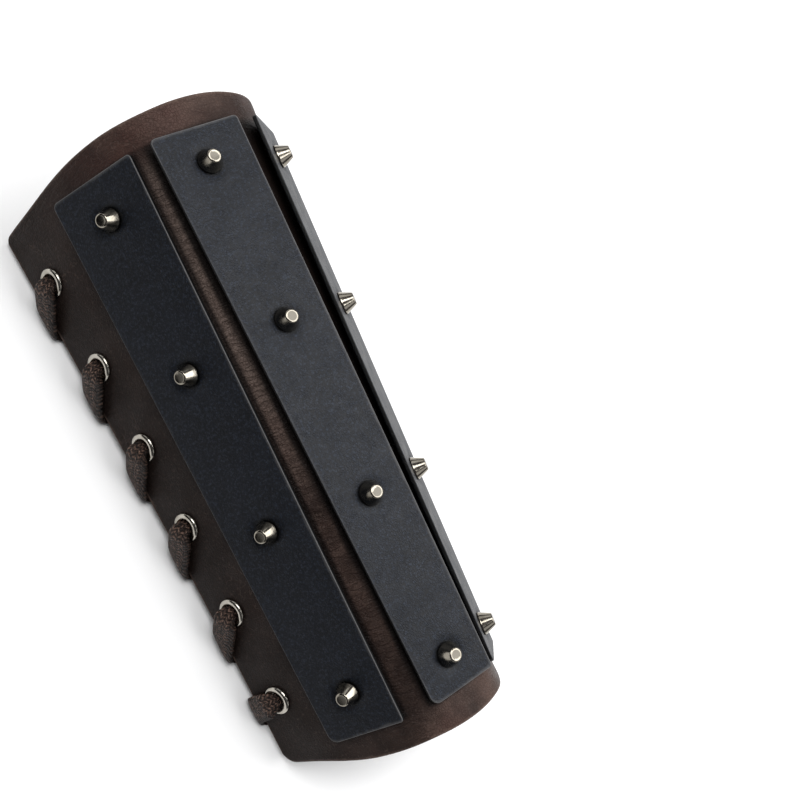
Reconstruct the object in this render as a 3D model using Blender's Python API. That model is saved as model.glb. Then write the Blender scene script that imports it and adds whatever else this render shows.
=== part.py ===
"""Laced arm bracer: a tapering leather shell, three studded panels, eyelets and one lace.

Metres, +Z up. The arm lies along Y, elbow end at +Y. The two laced edges rest side by side,
with the lacing below and the panels on top. "Left" is the -X side.
"""
import math

import bmesh
import bpy
from mathutils import Matrix, Vector

# Driving sizes of the leather shell
bracer_length = 0.2446        # along the ridge
elbow_leather = 0.2050        # width of the leather, laid flat, at the elbow end
wrist_leather = 0.1664        # the same at the wrist end
leather = 0.0022
elbow_setback = 0.0075        # how far each laced edge stops short of the ridge, at the elbow
wrist_setback = 0.0086        # the same at the wrist
edge_flare = 0.0009           # how far the laced edges reach down past the lacing at their ends
edge_waist = 0.0028           # and how far they curve back up from there at mid length
elbow_corner = 0.0035
wrist_corner = 0.0055
elbow_bow = 0.0017            # the rim bows out by this much beside the crown, at the elbow
wrist_bow = 0.0018            # the same at the wrist

# Eyelets along both laced edges
eyelet_places = (0.0, 0.204, 0.397, 0.587, 0.791, 1.0)   # shares of the first to the last pair
eyelet_from_edge = 0.0128
eyelet_from_end = 0.0250      # first and last pair, from the ends of the laced edge
eyelet_hole = 0.0062
eyelet_flange = 0.0115
eyelet_barrel_wall = 0.0005
eyelet_crest = 0.0007         # height of the rolled flange over its underside
eyelet_back_flange = 0.0094
eyelet_back_roll = 0.0006

# Stiff panels
panel_length = 0.2210
panel_thickness = 0.0017
panel_bevel = 0.0004
panel_corners = {             # radii at the four corners
    ("elbow", "left"): 0.0022, ("elbow", "right"): 0.0016,
    ("wrist", "left"): 0.0034, ("wrist", "right"): 0.0012,
}

# Studs, each riveted through its panel and the shell
stud_base = 0.0090
stud_top = 0.0047
stud_height = 0.0047
stud_edge = 0.0005            # rounding of the flat top
stud_post = 0.0030
stud_cap = 0.0070
stud_cap_thickness = 0.0009

# Lace
lace_width = 0.0100
lace_thickness = 0.0012
lace_gathered_width = 0.0042  # where it is drawn through an eyelet
lace_gathered_thickness = 0.0020
lace_slant = 0.0112           # how far a strand drifts to the wrist from its eyelet to the edge
last_slant = 0.0010           # the same for the last pair, which runs almost straight down
lace_turn_drift = 0.0024      # what it drifts more while it turns the edge
lace_settle = 0.0034          # from the lip of an eyelet until it lies on the leather
lace_rise = (0.0120, 0.0055)  # the straight run up to an eyelet, inside
lace_stride = 0.0240          # longest straight stretch of it
wrap_inset = 0.0004           # the centre of that turn lies this far up from the cut edge
inside_angle = 58             # degrees short of a full turn at which a strand enters an eyelet
knot_drift = 0.0070           # the knot lies this far past the last pair
knot_size = (0.0180, 0.0150, 0.0072)
tail_length = 0.0240
tail_apart = 0.0030           # half the distance between the tails where they leave the knot

# Clearances
seat_gap = 0.0003
panel_gap = 0.00045           # the panels are flat, the leather under them twists a little
lace_gap = 0.0006             # the lace bends, so its nearest points come closer than this
cap_gap = 0.0009              # the flat back caps lie in the shell's hollow side

# Smoothness
shell_columns = 32
shell_rows = 6
round_sides = 12

# The arch of each end, as shares of half the leather's width there
arch_shares = {
    "elbow": {"crown_radius": 0.390, "crown_arc": 0.384, "flank_radius": 1.740},
    "wrist": {"crown_radius": 0.358, "crown_arc": 0.338, "flank_radius": 1.890},
}

# Where each panel's centre line meets the two ends (shares of half the leather's width), how
# wide it is there (shares of its length) and where its studs sit (shares of its half length)
panel_table = {
    "left": {"elbow_line": -0.457, "wrist_line": -0.459, "elbow_width": 0.1765,
             "wrist_width": 0.1457, "studs": (0.858, 0.303, -0.266, -0.854)},
    "middle": {"elbow_line": -0.053, "wrist_line": 0.009, "elbow_width": 0.1600,
               "wrist_width": 0.1270, "studs": (0.880, 0.322, -0.299, -0.884)},
    "right": {"elbow_line": 0.330, "wrist_line": 0.361, "elbow_width": 0.1560,
              "wrist_width": 0.1260, "studs": (0.874, 0.323, -0.302, -0.892)},
}
rim_bow_place = 0.50          # where the rims bow out most: share of the half width from the ridge
rim_bow_reach = 0.36          # how far each way, as such a share

materials = {
    "brown_leather": {"color": (0.078, 0.056, 0.050, 1), "roughness": 0.62, "metallic": 0.0},
    "black_leather": {"color": (0.016, 0.018, 0.022, 1), "roughness": 0.55, "metallic": 0.0},
    "stud_metal": {"color": (0.42, 0.40, 0.36, 1), "roughness": 0.26, "metallic": 1.0},
    "eyelet_metal": {"color": (0.50, 0.48, 0.45, 1), "roughness": 0.30, "metallic": 1.0},
    "woven_lace": {"color": (0.050, 0.034, 0.028, 1), "roughness": 0.85, "metallic": 0.0},
}

half_length = bracer_length / 2
half_leather = {"elbow": elbow_leather / 2, "wrist": wrist_leather / 2}


def clear_scene():
    for item in list(bpy.data.objects):
        bpy.data.objects.remove(item)


def material(name):
    found = bpy.data.materials.get(name)
    if found:
        return found
    made = bpy.data.materials.new(name)
    made.use_nodes = True
    shader = made.node_tree.nodes["Principled BSDF"]
    values = materials[name]
    shader.inputs["Base Color"].default_value = values["color"]
    shader.inputs["Roughness"].default_value = values["roughness"]
    shader.inputs["Metallic"].default_value = values["metallic"]
    made.diffuse_color = values["color"]
    return made


def new_object(name, mesh, material_name, smooth=True):
    item = bpy.data.objects.new(name, mesh)
    bpy.context.collection.objects.link(item)
    if not mesh.materials:
        mesh.materials.append(material(material_name))
    if smooth:
        mesh.shade_smooth()
        mesh.set_sharp_from_angle(angle=math.radians(35))
    return item


def closed_mesh(name, rings, capped=True, looped=False):
    """Rings of points, joined in order into one closed surface that faces out."""
    shape = bmesh.new()
    loops = [[shape.verts.new(point) for point in ring] for ring in rings]
    pairs = list(zip(loops, loops[1:]))
    if looped:
        pairs.append((loops[-1], loops[0]))
    for near, far in pairs:
        for i in range(len(near)):
            j = (i + 1) % len(near)
            shape.faces.new((near[i], near[j], far[j], far[i]))
    if capped and not looped:
        shape.faces.new(list(reversed(loops[0])))
        shape.faces.new(loops[-1])
    bmesh.ops.recalc_face_normals(shape, faces=shape.faces)
    mesh = bpy.data.meshes.new(name)
    shape.to_mesh(mesh)
    shape.free()
    return mesh


def hidden_helper(name, meshes_at):
    """One hidden object that holds several closed shapes, for a Boolean."""
    shape = bmesh.new()
    for mesh, place in meshes_at:
        part = mesh.copy()
        part.transform(place)
        shape.from_mesh(part)
        bpy.data.meshes.remove(part)
    joined = bpy.data.meshes.new(name)
    shape.to_mesh(joined)
    shape.free()
    helper = bpy.data.objects.new(name, joined)
    bpy.context.collection.objects.link(helper)
    helper.hide_render = True
    helper.display_type = 'WIRE'
    return helper


def boolean(item, helper, operation):
    step = item.modifiers.new(helper.name, 'BOOLEAN')
    step.operation = operation
    step.solver = 'EXACT'
    step.object = helper


# The arch

def arch(end, share):
    """Place and slope of the leather's outer face at a share of its half width, ridge at 0."""
    half = half_leather[end]
    crown_radius = arch_shares[end]["crown_radius"] * half
    crown_arc = arch_shares[end]["crown_arc"] * half
    flank_radius = arch_shares[end]["flank_radius"] * half
    along = abs(share) * half
    side = math.copysign(1, share)
    if along <= crown_arc:
        slope = along / crown_radius
        x = crown_radius * math.sin(slope)
        drop = crown_radius * (1 - math.cos(slope))
    else:
        start = crown_arc / crown_radius
        slope = start + (along - crown_arc) / flank_radius
        x = crown_radius * math.sin(start) + flank_radius * (math.sin(slope) - math.sin(start))
        drop = crown_radius * (1 - math.cos(start)) + flank_radius * (math.cos(start) - math.cos(slope))
    return side * x, -drop, side * slope


def edge_height(slope):
    """Height of the leather's lowest line, which the lace passes under."""
    turn_centre = lace_thickness / 2 + wrap_radius()
    return turn_centre - wrap_inset * math.sin(slope) - leather / 2 * math.cos(slope)


def wrap_radius():
    """Radius of the lace's centre line where it turns round the edge of the leather."""
    return math.hypot(wrap_inset, leather / 2) + lace_gap * 0.7 + lace_thickness / 2


def ridge_height(end):
    x, z, slope = arch(end, 1.0)
    return edge_height(slope) + leather * math.cos(slope) - z


def edge_share(y):
    """Share of the half width at which the laced edge lies, at a place along the arm."""
    half = blend(half_leather["elbow"], half_leather["wrist"], y)
    waist = edge_waist * max(0.0, 1 - (y / half_length) ** 2)
    return 1 + (edge_flare - waist) / half


def blend(at_elbow, at_wrist, y):
    wristward = 0.5 - y / bracer_length
    return at_elbow * (1 - wristward) + at_wrist * wristward


def surface(share, y, out=0.0):
    """Point of the shell: share of the half width, place along the arm, height over its face."""
    ends = []
    for end in ("elbow", "wrist"):
        x, z, slope = arch(end, share)
        ends.append((x + out * math.sin(slope), z + out * math.cos(slope) + ridge_height(end)))
    return Vector((blend(ends[0][0], ends[1][0], y), y, blend(ends[0][1], ends[1][1], y)))


def end_place(end, fraction, out):
    """Where the shell stops, on a flat cut that leans from the ridge to the laced edges."""
    sign = 1 if end == "elbow" else -1
    setback = elbow_setback if end == "elbow" else wrist_setback
    corner = elbow_corner if end == "elbow" else wrist_corner
    fall = arch(end, 1.0)[1]
    y = sign * half_length
    for _ in range(24):
        z = surface(fraction * edge_share(y), y, out).z
        y = sign * (half_length - setback * (z - ridge_height(end)) / fall)
    from_edge = (1 - abs(fraction)) * half_leather[end]
    if from_edge < corner:
        y -= sign * (corner - math.sqrt(max(0.0, corner ** 2 - (corner - from_edge) ** 2)))
    bow = elbow_bow if end == "elbow" else wrist_bow
    beside = min(1.0, abs(abs(fraction) - rim_bow_place) / rim_bow_reach)
    return y + sign * bow * math.cos(math.pi / 2 * beside) ** 2


def shell_fractions():
    """Columns across the leather, closer together at the rounded corners."""
    corner = max(elbow_corner, wrist_corner)
    half = min(half_leather.values())
    inner = 1 - corner / half
    columns = [inner * (2 * i / shell_columns - 1) for i in range(shell_columns + 1)]
    rounded = [1 - corner / half * (1 - math.sin(math.radians(a))) for a in (22, 42, 60, 76, 90)]
    return [-f for f in reversed(rounded)] + columns + rounded


def make_shell():
    fractions = shell_fractions()
    shape = bmesh.new()
    layers = []
    for out in (0.0, -leather):
        grid = []
        for fraction in fractions:
            high = end_place("elbow", fraction, out)
            low = end_place("wrist", fraction, out)
            column = []
            for row in range(shell_rows + 1):
                y = high + (low - high) * row / shell_rows
                column.append(shape.verts.new(surface(fraction * edge_share(y), y, out)))
            grid.append(column)
        layers.append(grid)
    outer, inner = layers
    last = len(fractions) - 1
    for i in range(last):
        for j in range(shell_rows):
            shape.faces.new((outer[i][j], outer[i][j + 1], outer[i + 1][j + 1], outer[i + 1][j]))
            shape.faces.new((inner[i][j], inner[i + 1][j], inner[i + 1][j + 1], inner[i][j + 1]))
        for j in (0, shell_rows):
            shape.faces.new((outer[i][j], outer[i + 1][j], inner[i + 1][j], inner[i][j]))
    for j in range(shell_rows):
        for i in (0, last):
            shape.faces.new((outer[i][j], outer[i][j + 1], inner[i][j + 1], inner[i][j]))
    bmesh.ops.recalc_face_normals(shape, faces=shape.faces)
    mesh = bpy.data.meshes.new("leather_shell")
    shape.to_mesh(mesh)
    shape.free()
    return new_object("leather_shell", mesh, "brown_leather")


# Frames for what sits on the shell

def eyelet_y(pair):
    """Place along the arm of a pair of eyelets, counted from 0 at the elbow."""
    first = half_length - elbow_setback - eyelet_from_end
    last = -half_length + wrist_setback + eyelet_from_end
    return first + (last - first) * eyelet_places[pair]


def flank(side, y, up, out):
    """Point beside the laced edge: up from the edge, out from the outer face."""
    half = blend(half_leather["elbow"], half_leather["wrist"], y)
    return surface(side * (edge_share(y) - up / half), y, out)


def flank_axes(side, y, up):
    """Outward normal, down along the leather, and along the arm."""
    step = 0.0005
    down = (flank(side, y, up - step, 0) - flank(side, y, up + step, 0)).normalized()
    along = (flank(side, y + step, up, 0) - flank(side, y - step, up, 0)).normalized()
    out = down.cross(along) if side < 0 else along.cross(down)
    if out.dot(flank(side, y, up, step) - flank(side, y, up, 0)) < 0:
        out = -out
    return out.normalized(), down, along


def eyelet_place(side, pair):
    y = eyelet_y(pair)
    out, down, along = flank_axes(side, y, eyelet_from_edge)
    place = Matrix.Identity(4)
    across = along.cross(out)
    for row in range(3):
        place[row][0] = across[row]
        place[row][1] = along[row]
        place[row][2] = out[row]
    return Matrix.Translation(flank(side, y, eyelet_from_edge, 0)) @ place


def turned(profile, sides):
    """Rings of a profile of (radius, height) points turned about Z."""
    rings = []
    for i in range(sides):
        angle = 2 * math.pi * i / sides
        rings.append([Vector((r * math.cos(angle), r * math.sin(angle), z)) for r, z in profile])
    return rings


def eyelet_mesh():
    hole = eyelet_hole / 2
    barrel = hole + eyelet_barrel_wall
    flange = eyelet_flange / 2
    back = eyelet_back_flange / 2
    under = -leather - seat_gap
    profile = [
        (hole, seat_gap + eyelet_crest * 0.45),
        (hole + (flange - hole) * 0.46, seat_gap + eyelet_crest),
        (flange - eyelet_crest * 0.45, seat_gap + eyelet_crest * 0.55),
        (flange, seat_gap),
        (barrel, seat_gap),
        (barrel, under),
        (back, under),
        (back - eyelet_back_roll * 0.6, under - eyelet_back_roll),
        (hole, under - eyelet_back_roll * 0.6),
    ]
    return closed_mesh("eyelet", turned(profile, round_sides), looped=True)


def stud_mesh(through):
    """Smooth flat-topped cone, its post and its back cap, in one piece; its seat is at Z = 0."""
    base = stud_base / 2
    top = stud_top / 2
    post = stud_post / 2
    cap = stud_cap / 2
    profile = [
        (base, 0.0),
        (base, stud_height * 0.06),
        (top + stud_edge * 0.35, stud_height - stud_edge),
        (top - stud_edge * 0.5, stud_height),
    ]
    levels = list(reversed(profile)) + [
        (post, 0.0),
        (post, -through),
        (cap, -through),
        (cap, -through - stud_cap_thickness),
    ]
    loops = []
    for r, z in levels:
        loop = []
        for i in range(round_sides):
            angle = 2 * math.pi * i / round_sides
            loop.append(Vector((r * math.cos(angle), r * math.sin(angle), z)))
        loops.append(loop)
    return closed_mesh("stud", loops)


def hole_mesh(radius, low, high, sides=round_sides):
    loops = []
    for z in (low, high):
        loop = []
        for i in range(sides):
            angle = 2 * math.pi * i / sides
            loop.append(Vector((radius * math.cos(angle), radius * math.sin(angle), z)))
        loops.append(loop)
    return closed_mesh("hole", loops)


# Panels

def panel_place(name):
    """Frame of a panel: X across, Y along the arm, Z out, origin under its middle."""
    row = panel_table[name]
    elbow = ridge_line_point(row["elbow_line"], "elbow")
    wrist = ridge_line_point(row["wrist_line"], "wrist")
    along = (elbow - wrist).normalized()
    slope = (arch("elbow", row["elbow_line"])[2] + arch("wrist", row["wrist_line"])[2]) / 2
    out = Vector((math.sin(slope), 0, math.cos(slope)))
    out = (out - along * out.dot(along)).normalized()
    across = along.cross(out)
    place = Matrix.Identity(4)
    for i in range(3):
        place[i][0] = across[i]
        place[i][1] = along[i]
        place[i][2] = out[i]
    middle = elbow * 0.5 + wrist * 0.5
    return Matrix.Translation(middle + out * panel_gap) @ place


def ridge_line_point(share, end):
    x, z, slope = arch(end, share)
    return Vector((x, half_length if end == "elbow" else -half_length, z + ridge_height(end)))


def panel_outline(name, inset):
    """Tapering strip with rounded corners, anticlockwise, drawn in by the inset."""
    row = panel_table[name]
    half = panel_length / 2
    corners = []
    for end, x_sign, y_sign in (("wrist", -1, -1), ("wrist", 1, -1), ("elbow", 1, 1), ("elbow", -1, 1)):
        width = row["elbow_width"] if end == "elbow" else row["wrist_width"]
        radius = panel_corners[end, "left" if x_sign < 0 else "right"]
        centre_x = x_sign * (width * panel_length / 2 - radius)
        centre_y = y_sign * (half - radius)
        start = {(-1, -1): 180, (1, -1): 270, (1, 1): 0, (-1, 1): 90}[(x_sign, y_sign)]
        for step in range(5):
            angle = math.radians(start + 22.5 * step)
            reach = radius - inset
            corners.append((centre_x + reach * math.cos(angle), centre_y + reach * math.sin(angle)))
    return corners


def make_panel(name):
    levels = ((panel_bevel * 0.5, 0.0), (0.0, panel_bevel * 0.5),
              (0.0, panel_thickness - panel_bevel), (panel_bevel, panel_thickness))
    rings = []
    for inset, z in levels:
        rings.append([Vector((x, y, z)) for x, y in panel_outline(name, inset)])
    mesh = closed_mesh("panel_" + name, rings)
    item = new_object("panel_" + name, mesh, "black_leather")
    place = panel_place(name)
    item.matrix_world = place
    return item, place


def stud_through():
    """From a stud's seat to the top of its back cap."""
    return seat_gap + panel_thickness + panel_gap + leather + cap_gap


def make_panels_and_studs(shell):
    through = stud_through()
    stud = stud_mesh(through)
    hole = hole_mesh(stud_post / 2 + seat_gap, -through, stud_height)
    shell_holes = []
    for name in panel_table:
        panel, place = make_panel(name)
        seats = []
        for share in panel_table[name]["studs"]:
            seats.append(Matrix.Translation((0, share * panel_length / 2, panel_thickness + seat_gap)))
        holes = hidden_helper("holes_in_" + panel.name, [(hole, place @ seat) for seat in seats])
        boolean(panel, holes, 'DIFFERENCE')
        for number, seat in enumerate(seats, 1):
            piece = new_object("stud_%s_%d" % (name, number), stud, "stud_metal")
            piece.matrix_world = place @ seat
            shell_holes.append((hole, place @ seat))
    return shell_holes


def make_eyelets():
    eyelet = eyelet_mesh()
    hole = hole_mesh(eyelet_hole / 2 + eyelet_barrel_wall + seat_gap, -2 * leather, leather, 16)
    holes = []
    for side, word in ((-1, "left"), (1, "right")):
        for pair in range(len(eyelet_places)):
            place = eyelet_place(side, pair)
            piece = new_object("eyelet_%s_%d" % (word, pair + 1), eyelet, "eyelet_metal")
            piece.matrix_world = place
            holes.append((hole, place))
    return holes


# Lace: a list of stations, each with a point, the direction of its width, its width and thickness

flat = (lace_width, lace_thickness)
gathered = (lace_gathered_width, lace_gathered_thickness)
arm_axis = Vector((0, 1, 0))


def between(near, far, share):
    """A size of the lace between two others."""
    return tuple(a + (b - a) * share for a, b in zip(near, far))


def strand_station(side, pair, away, slant, out, size):
    """Station at a distance from an eyelet's middle, on a line that slants toward the wrist."""
    y = eyelet_y(pair) - away * math.sin(slant)
    up = eyelet_from_edge - away * math.cos(slant)
    down, along = flank_axes(side, y, up)[1:]
    return flank(side, y, up, out), along * math.cos(slant) + down * math.sin(slant), size


def turn_radius():
    """The lace's centre line turns round the lip of an eyelet at this radius."""
    outside = seat_gap + eyelet_crest + leather / 2
    inside = leather / 2 + seat_gap + eyelet_back_roll
    return max(outside, inside) + lace_gap + lace_gathered_thickness / 2


def lip_distance():
    """From an eyelet's middle to the middle of its barrel's wall."""
    return eyelet_hole / 2 + eyelet_barrel_wall / 2


def through_eyelet(side, pair, drift):
    """From inside the shell, round the eyelet's lip, to outside."""
    slant = math.atan2(drift, eyelet_from_edge)
    stations = []
    for degrees, turned_share, fan in ((inside_angle, 0.0, 0.0), (90, 0.0, 0.0), (120, 0.15, 0.0),
                                       (150, 0.65, 0.1), (180, 1.0, 0.5)):
        angle = math.radians(degrees)
        away = lip_distance() - turn_radius() * math.sin(angle)
        out = -leather / 2 - turn_radius() * math.cos(angle)
        size = between(gathered, flat, fan)
        stations.append(strand_station(side, pair, away, slant * turned_share, out, size))
    return stations


def over_the_face(side, pair, drift):
    """From an eyelet down the outer face to the cut edge, drifting toward the wrist."""
    slant = math.atan2(drift, eyelet_from_edge)
    resting = lace_gap * 0.8 + lace_thickness / 2
    landing = lip_distance() + lace_settle
    reach = (eyelet_from_edge - wrap_inset) / math.cos(slant)
    size = between(gathered, flat, 0.85)
    stations = [strand_station(side, pair, landing, slant, resting + eyelet_crest, size)]
    for share in (0.35, 0.75):
        point = strand_station(side, pair, landing + (reach - landing) * share, slant, resting, flat)
        along = flank_axes(side, point[0].y, eyelet_from_edge / 2)[2]
        stations.append((point[0], point[1].lerp(along, share), flat))
    return stations


def round_the_edge(side, pair, drift):
    """Round the cut edge, until the lace runs level toward the middle."""
    stations = []
    y_start = eyelet_y(pair) - drift
    turn_drift = math.copysign(lace_turn_drift, drift)
    out, down, along = flank_axes(side, y_start, wrap_inset)
    level = 90 + math.degrees(math.asin(max(-1.0, min(1.0, out.z))))
    for share in (0.12, 0.42, 0.72, 1.0):
        y = y_start - turn_drift * share
        out, down, along = flank_axes(side, y, wrap_inset)
        centre = flank(side, y, wrap_inset, -leather / 2)
        angle = math.radians(level * share)
        point = centre + (out * math.cos(angle) + down * math.sin(angle)) * wrap_radius()
        point.z = max(point.z, lace_thickness / 2)
        stations.append((point, along.lerp(arm_axis, share ** 2), flat))
    return stations


def layer_height(layer):
    """Height of a strand's middle when it lies on so many others."""
    return lace_thickness / 2 + layer * (lace_thickness + lace_gap)


def across_the_gap(side, pair, raised):
    """From one edge to near the other flank, one strand over the other; the last two also
    pass over the strands that run to the knot."""
    start = round_the_edge(side, pair, lace_slant)[-1][0]
    y_end = eyelet_y(pair + 1)
    over_last = 1 if pair == len(eyelet_places) - 2 else 0
    own = 1 if raised else 0
    stations = []
    for share, layer in ((0.11, 0), (0.23, own + over_last), (0.50, own + over_last),
                         (0.77, own + over_last), (0.85, 0.5 + over_last)):
        x = start.x * (1 - 2 * share)
        y = start.y + (y_end - start.y) * share
        stations.append((Vector((x, y, layer_height(layer))), arm_axis, flat))
    return stations


def up_to_eyelet(side, pair):
    """A straight, rising run to an eyelet, from inside the shell."""
    angle = math.radians(inside_angle)
    stations = []
    for back in lace_rise:
        away = lip_distance() - turn_radius() * math.sin(angle) + back * math.cos(angle)
        out = -leather / 2 - turn_radius() * math.cos(angle) - back * math.sin(angle)
        stations.append(strand_station(side, pair, away, 0.0, out, flat))
    return stations


def half_lace(side):
    """From the middle of the inside bar at the elbow to the knot at the wrist end."""
    half_gap = abs(flank(side, eyelet_y(0), 0, -leather).x)
    floor = lace_thickness / 2
    stations = []
    for share, layer in ((0.0, 0), (0.38, 0), (0.62, 0.4)):
        point = Vector((side * half_gap * share, eyelet_y(0), layer_height(layer)))
        stations.append((point, arm_axis, flat))
    now = side
    stations += up_to_eyelet(now, 0)
    last = len(eyelet_places) - 1
    for pair in range(last):
        stations += through_eyelet(now, pair, lace_slant)
        stations += over_the_face(now, pair, lace_slant)
        stations += round_the_edge(now, pair, lace_slant)
        stations += across_the_gap(now, pair, raised=(pair % 2 == 0) == (side > 0))
        now = -now
        stations += up_to_eyelet(now, pair + 1)
    stations += through_eyelet(now, last, last_slant)
    stations += over_the_face(now, last, last_slant)
    stations += round_the_edge(now, last, last_slant)
    edge = stations[-1][0]
    for share, lift in ((0.80, 0.0), (0.50, 0.0), (0.22, 0.35), (0.05, 0.9)):
        z = floor + (knot_size[2] / 2 - floor) * lift
        y = edge.y - knot_drift * min(1.0, (0.85 - share) / 0.5)
        stations.append((Vector((edge.x * share, y, z)), arm_axis, flat))
    return stations


def smooth_route(stations, steps=8):
    """A smooth curve through all stations, thinned where it hardly turns."""
    dense = []
    for i in range(len(stations) - 1):
        before = stations[max(i - 1, 0)]
        first, second = stations[i], stations[i + 1]
        after = stations[min(i + 2, len(stations) - 1)]
        span = (second[0] - first[0]).length
        leave = hermite_slope(before[0], first[0], second[0]) * span
        arrive = hermite_slope(first[0], second[0], after[0]) * span
        for step in range(steps):
            t = step / steps
            toward = 3 * t ** 2 - 2 * t ** 3
            point = first[0].lerp(second[0], toward)
            point += leave * (t ** 3 - 2 * t ** 2 + t) + arrive * (t ** 3 - t ** 2)
            across = first[1].lerp(second[1], t).normalized()
            size = [first[2][k] + (second[2][k] - first[2][k]) * t for k in (0, 1)]
            point.z = max(point.z, size[1] / 2)
            dense.append((point, across, size))
    dense.append((stations[-1][0], stations[-1][1], list(stations[-1][2])))
    kept = [dense[0]]
    turn = 0.0
    for i in range(1, len(dense) - 1):
        here = dense[i][0] - dense[i - 1][0]
        ahead = dense[i + 1][0] - dense[i][0]
        turn += here.angle(ahead)
        far = (dense[i][0] - kept[-1][0]).length
        if turn > math.radians(24) or far > lace_stride:
            kept.append(dense[i])
            turn = 0.0
    kept.append(dense[-1])
    return kept


def hermite_slope(before, here, after):
    """Direction of a curve through three points, with the nearer one weighing more."""
    back = (here - before).length
    ahead = (after - here).length
    if back == 0:
        return (after - here) / ahead
    if ahead == 0:
        return (here - before) / back
    return ((here - before) / back * ahead + (after - here) / ahead * back) / (back + ahead)


def ribbon_rings(route):
    rings = []
    for i, (point, across, size) in enumerate(route):
        ahead = route[min(i + 1, len(route) - 1)][0] - route[max(i - 1, 0)][0]
        ahead.normalize()
        face = ahead.cross(across)
        squareness = max(face.length, 0.3)
        face.normalize()
        reach = across * (size[0] / 2 / squareness)
        rise = face * (size[1] / 2)
        ring = []
        for wide, high in ((-1, 0), (-0.86, 1), (0.86, 1), (1, 0), (0.86, -1), (-0.86, -1)):
            ring.append(point + reach * wide + rise * high)
        rings.append(ring)
    return rings


def make_lace():
    left = half_lace(-1)
    right = half_lace(1)
    stations = list(reversed(left)) + right[1:]
    mesh = closed_mesh("lace", ribbon_rings(smooth_route(stations)))
    lace = new_object("lace", mesh, "woven_lace")
    knot_y = right[-1][0].y
    lump = ball_mesh(Vector((0, knot_y, knot_size[2] / 2)), knot_size)
    boolean(lace, hidden_helper("knot", [(lump, Matrix.Identity(4))]), 'UNION')
    for side in (-1, 1):
        tail = closed_mesh("tail", ribbon_rings(smooth_route(tail_stations(side, knot_y))))
        word = "left" if side < 0 else "right"
        boolean(lace, hidden_helper("tail_" + word, [(tail, Matrix.Identity(4))]), 'UNION')
    return lace


def tail_stations(side, knot_y):
    """A short free end that leaves the knot toward the wrist and lies flat."""
    floor = lace_thickness / 2
    stations = []
    for share, z in ((0.0, knot_size[2] * 0.5), (0.35, knot_size[2] * 0.22), (0.6, floor), (1.0, floor)):
        reach = tail_length * share
        point = Vector((side * (tail_apart + reach * 0.55), knot_y - reach * 0.80, max(z, floor)))
        stations.append((point, Vector((0.80, side * 0.55, 0)).normalized(), flat))
    return stations


def ball_mesh(centre, size):
    loops = []
    for step in range(1, 6):
        tilt = math.pi * step / 6
        loop = []
        for i in range(round_sides):
            angle = 2 * math.pi * i / round_sides
            across = math.sin(tilt)
            unit = (across * math.cos(angle), across * math.sin(angle), math.cos(tilt))
            loop.append(centre + Vector(u * s / 2 for u, s in zip(unit, size)))
        loops.append(loop)
    return closed_mesh("ball", loops)


def main():
    clear_scene()
    shell = make_shell()
    holes = make_panels_and_studs(shell) + make_eyelets()
    boolean(shell, hidden_helper("holes_in_shell", holes), 'DIFFERENCE')
    make_lace()


main()
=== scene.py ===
import math

import bpy
import numpy as np
from mathutils import Matrix, Vector, noise


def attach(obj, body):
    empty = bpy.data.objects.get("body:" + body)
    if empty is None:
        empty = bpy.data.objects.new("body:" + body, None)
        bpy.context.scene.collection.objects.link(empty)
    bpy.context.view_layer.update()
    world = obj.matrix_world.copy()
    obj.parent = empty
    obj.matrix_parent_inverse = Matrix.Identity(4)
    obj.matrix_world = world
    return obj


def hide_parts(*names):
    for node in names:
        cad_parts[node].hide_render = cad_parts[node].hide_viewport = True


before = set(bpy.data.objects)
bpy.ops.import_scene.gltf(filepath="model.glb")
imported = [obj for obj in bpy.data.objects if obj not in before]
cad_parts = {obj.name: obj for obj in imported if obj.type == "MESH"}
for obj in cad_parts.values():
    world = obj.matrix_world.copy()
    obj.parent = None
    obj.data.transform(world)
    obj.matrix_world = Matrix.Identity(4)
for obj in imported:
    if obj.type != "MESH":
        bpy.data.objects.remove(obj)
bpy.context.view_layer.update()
mm = 0.001
print("frame loaded")


# Camera, floor and lights.
photoView = {
    "place": (-0.187398, -0.014825, 0.397626),
    "turn": (17.051, -29.080, -30.322),     # degrees, XYZ
    "sensor": 36.0,
    "lens": 47.198,
    "clip": (0.01, 20.0),
}
studio = {
    "floorSize": 2.8,
    "floorTone": (0.94, 0.94, 0.94, 1),
    "paperRoughness": 0.9,
    "worldTone": (0.13, 0.13, 0.135, 1),      # what lights the scene
    "backdropTone": (0.80, 0.80, 0.81, 1),    # what shows behind the floor
    # name: place, what it points at, width, height, power in watts
    "lamps": {
        "top": ((-0.16, 0.34, 1.22), (0.0, 0.0, 0.05), 0.70, 0.70, 10.0),
        "right": ((0.66, -0.16, 1.06), (0.0, 0.0, 0.05), 1.20, 0.90, 17.0),
        "far side": ((0.25, 1.30, 0.75), (0.0, 0.0, 0.05), 1.30, 0.70, 3.0),
        "near side": ((0.40, -1.25, 0.95), (0.0, 0.0, 0.02), 1.20, 0.70, 2.0),
    },
    # a black card out of view keeps the left side dark in the nickel and the black leather
    "card": {"x": -0.95, "halfWidth": 1.3, "height": 0.62, "tone": (0.008, 0.008, 0.008, 1)},
}


def addCamera():
    view = bpy.data.cameras.new("photo view")
    view.sensor_width = photoView["sensor"]
    view.lens = photoView["lens"]
    view.clip_start, view.clip_end = photoView["clip"]
    camera = bpy.data.objects.new("photo view", view)
    camera.location = photoView["place"]
    camera.rotation_euler = [math.radians(a) for a in photoView["turn"]]
    bpy.context.collection.objects.link(camera)
    bpy.context.scene.camera = camera


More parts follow.
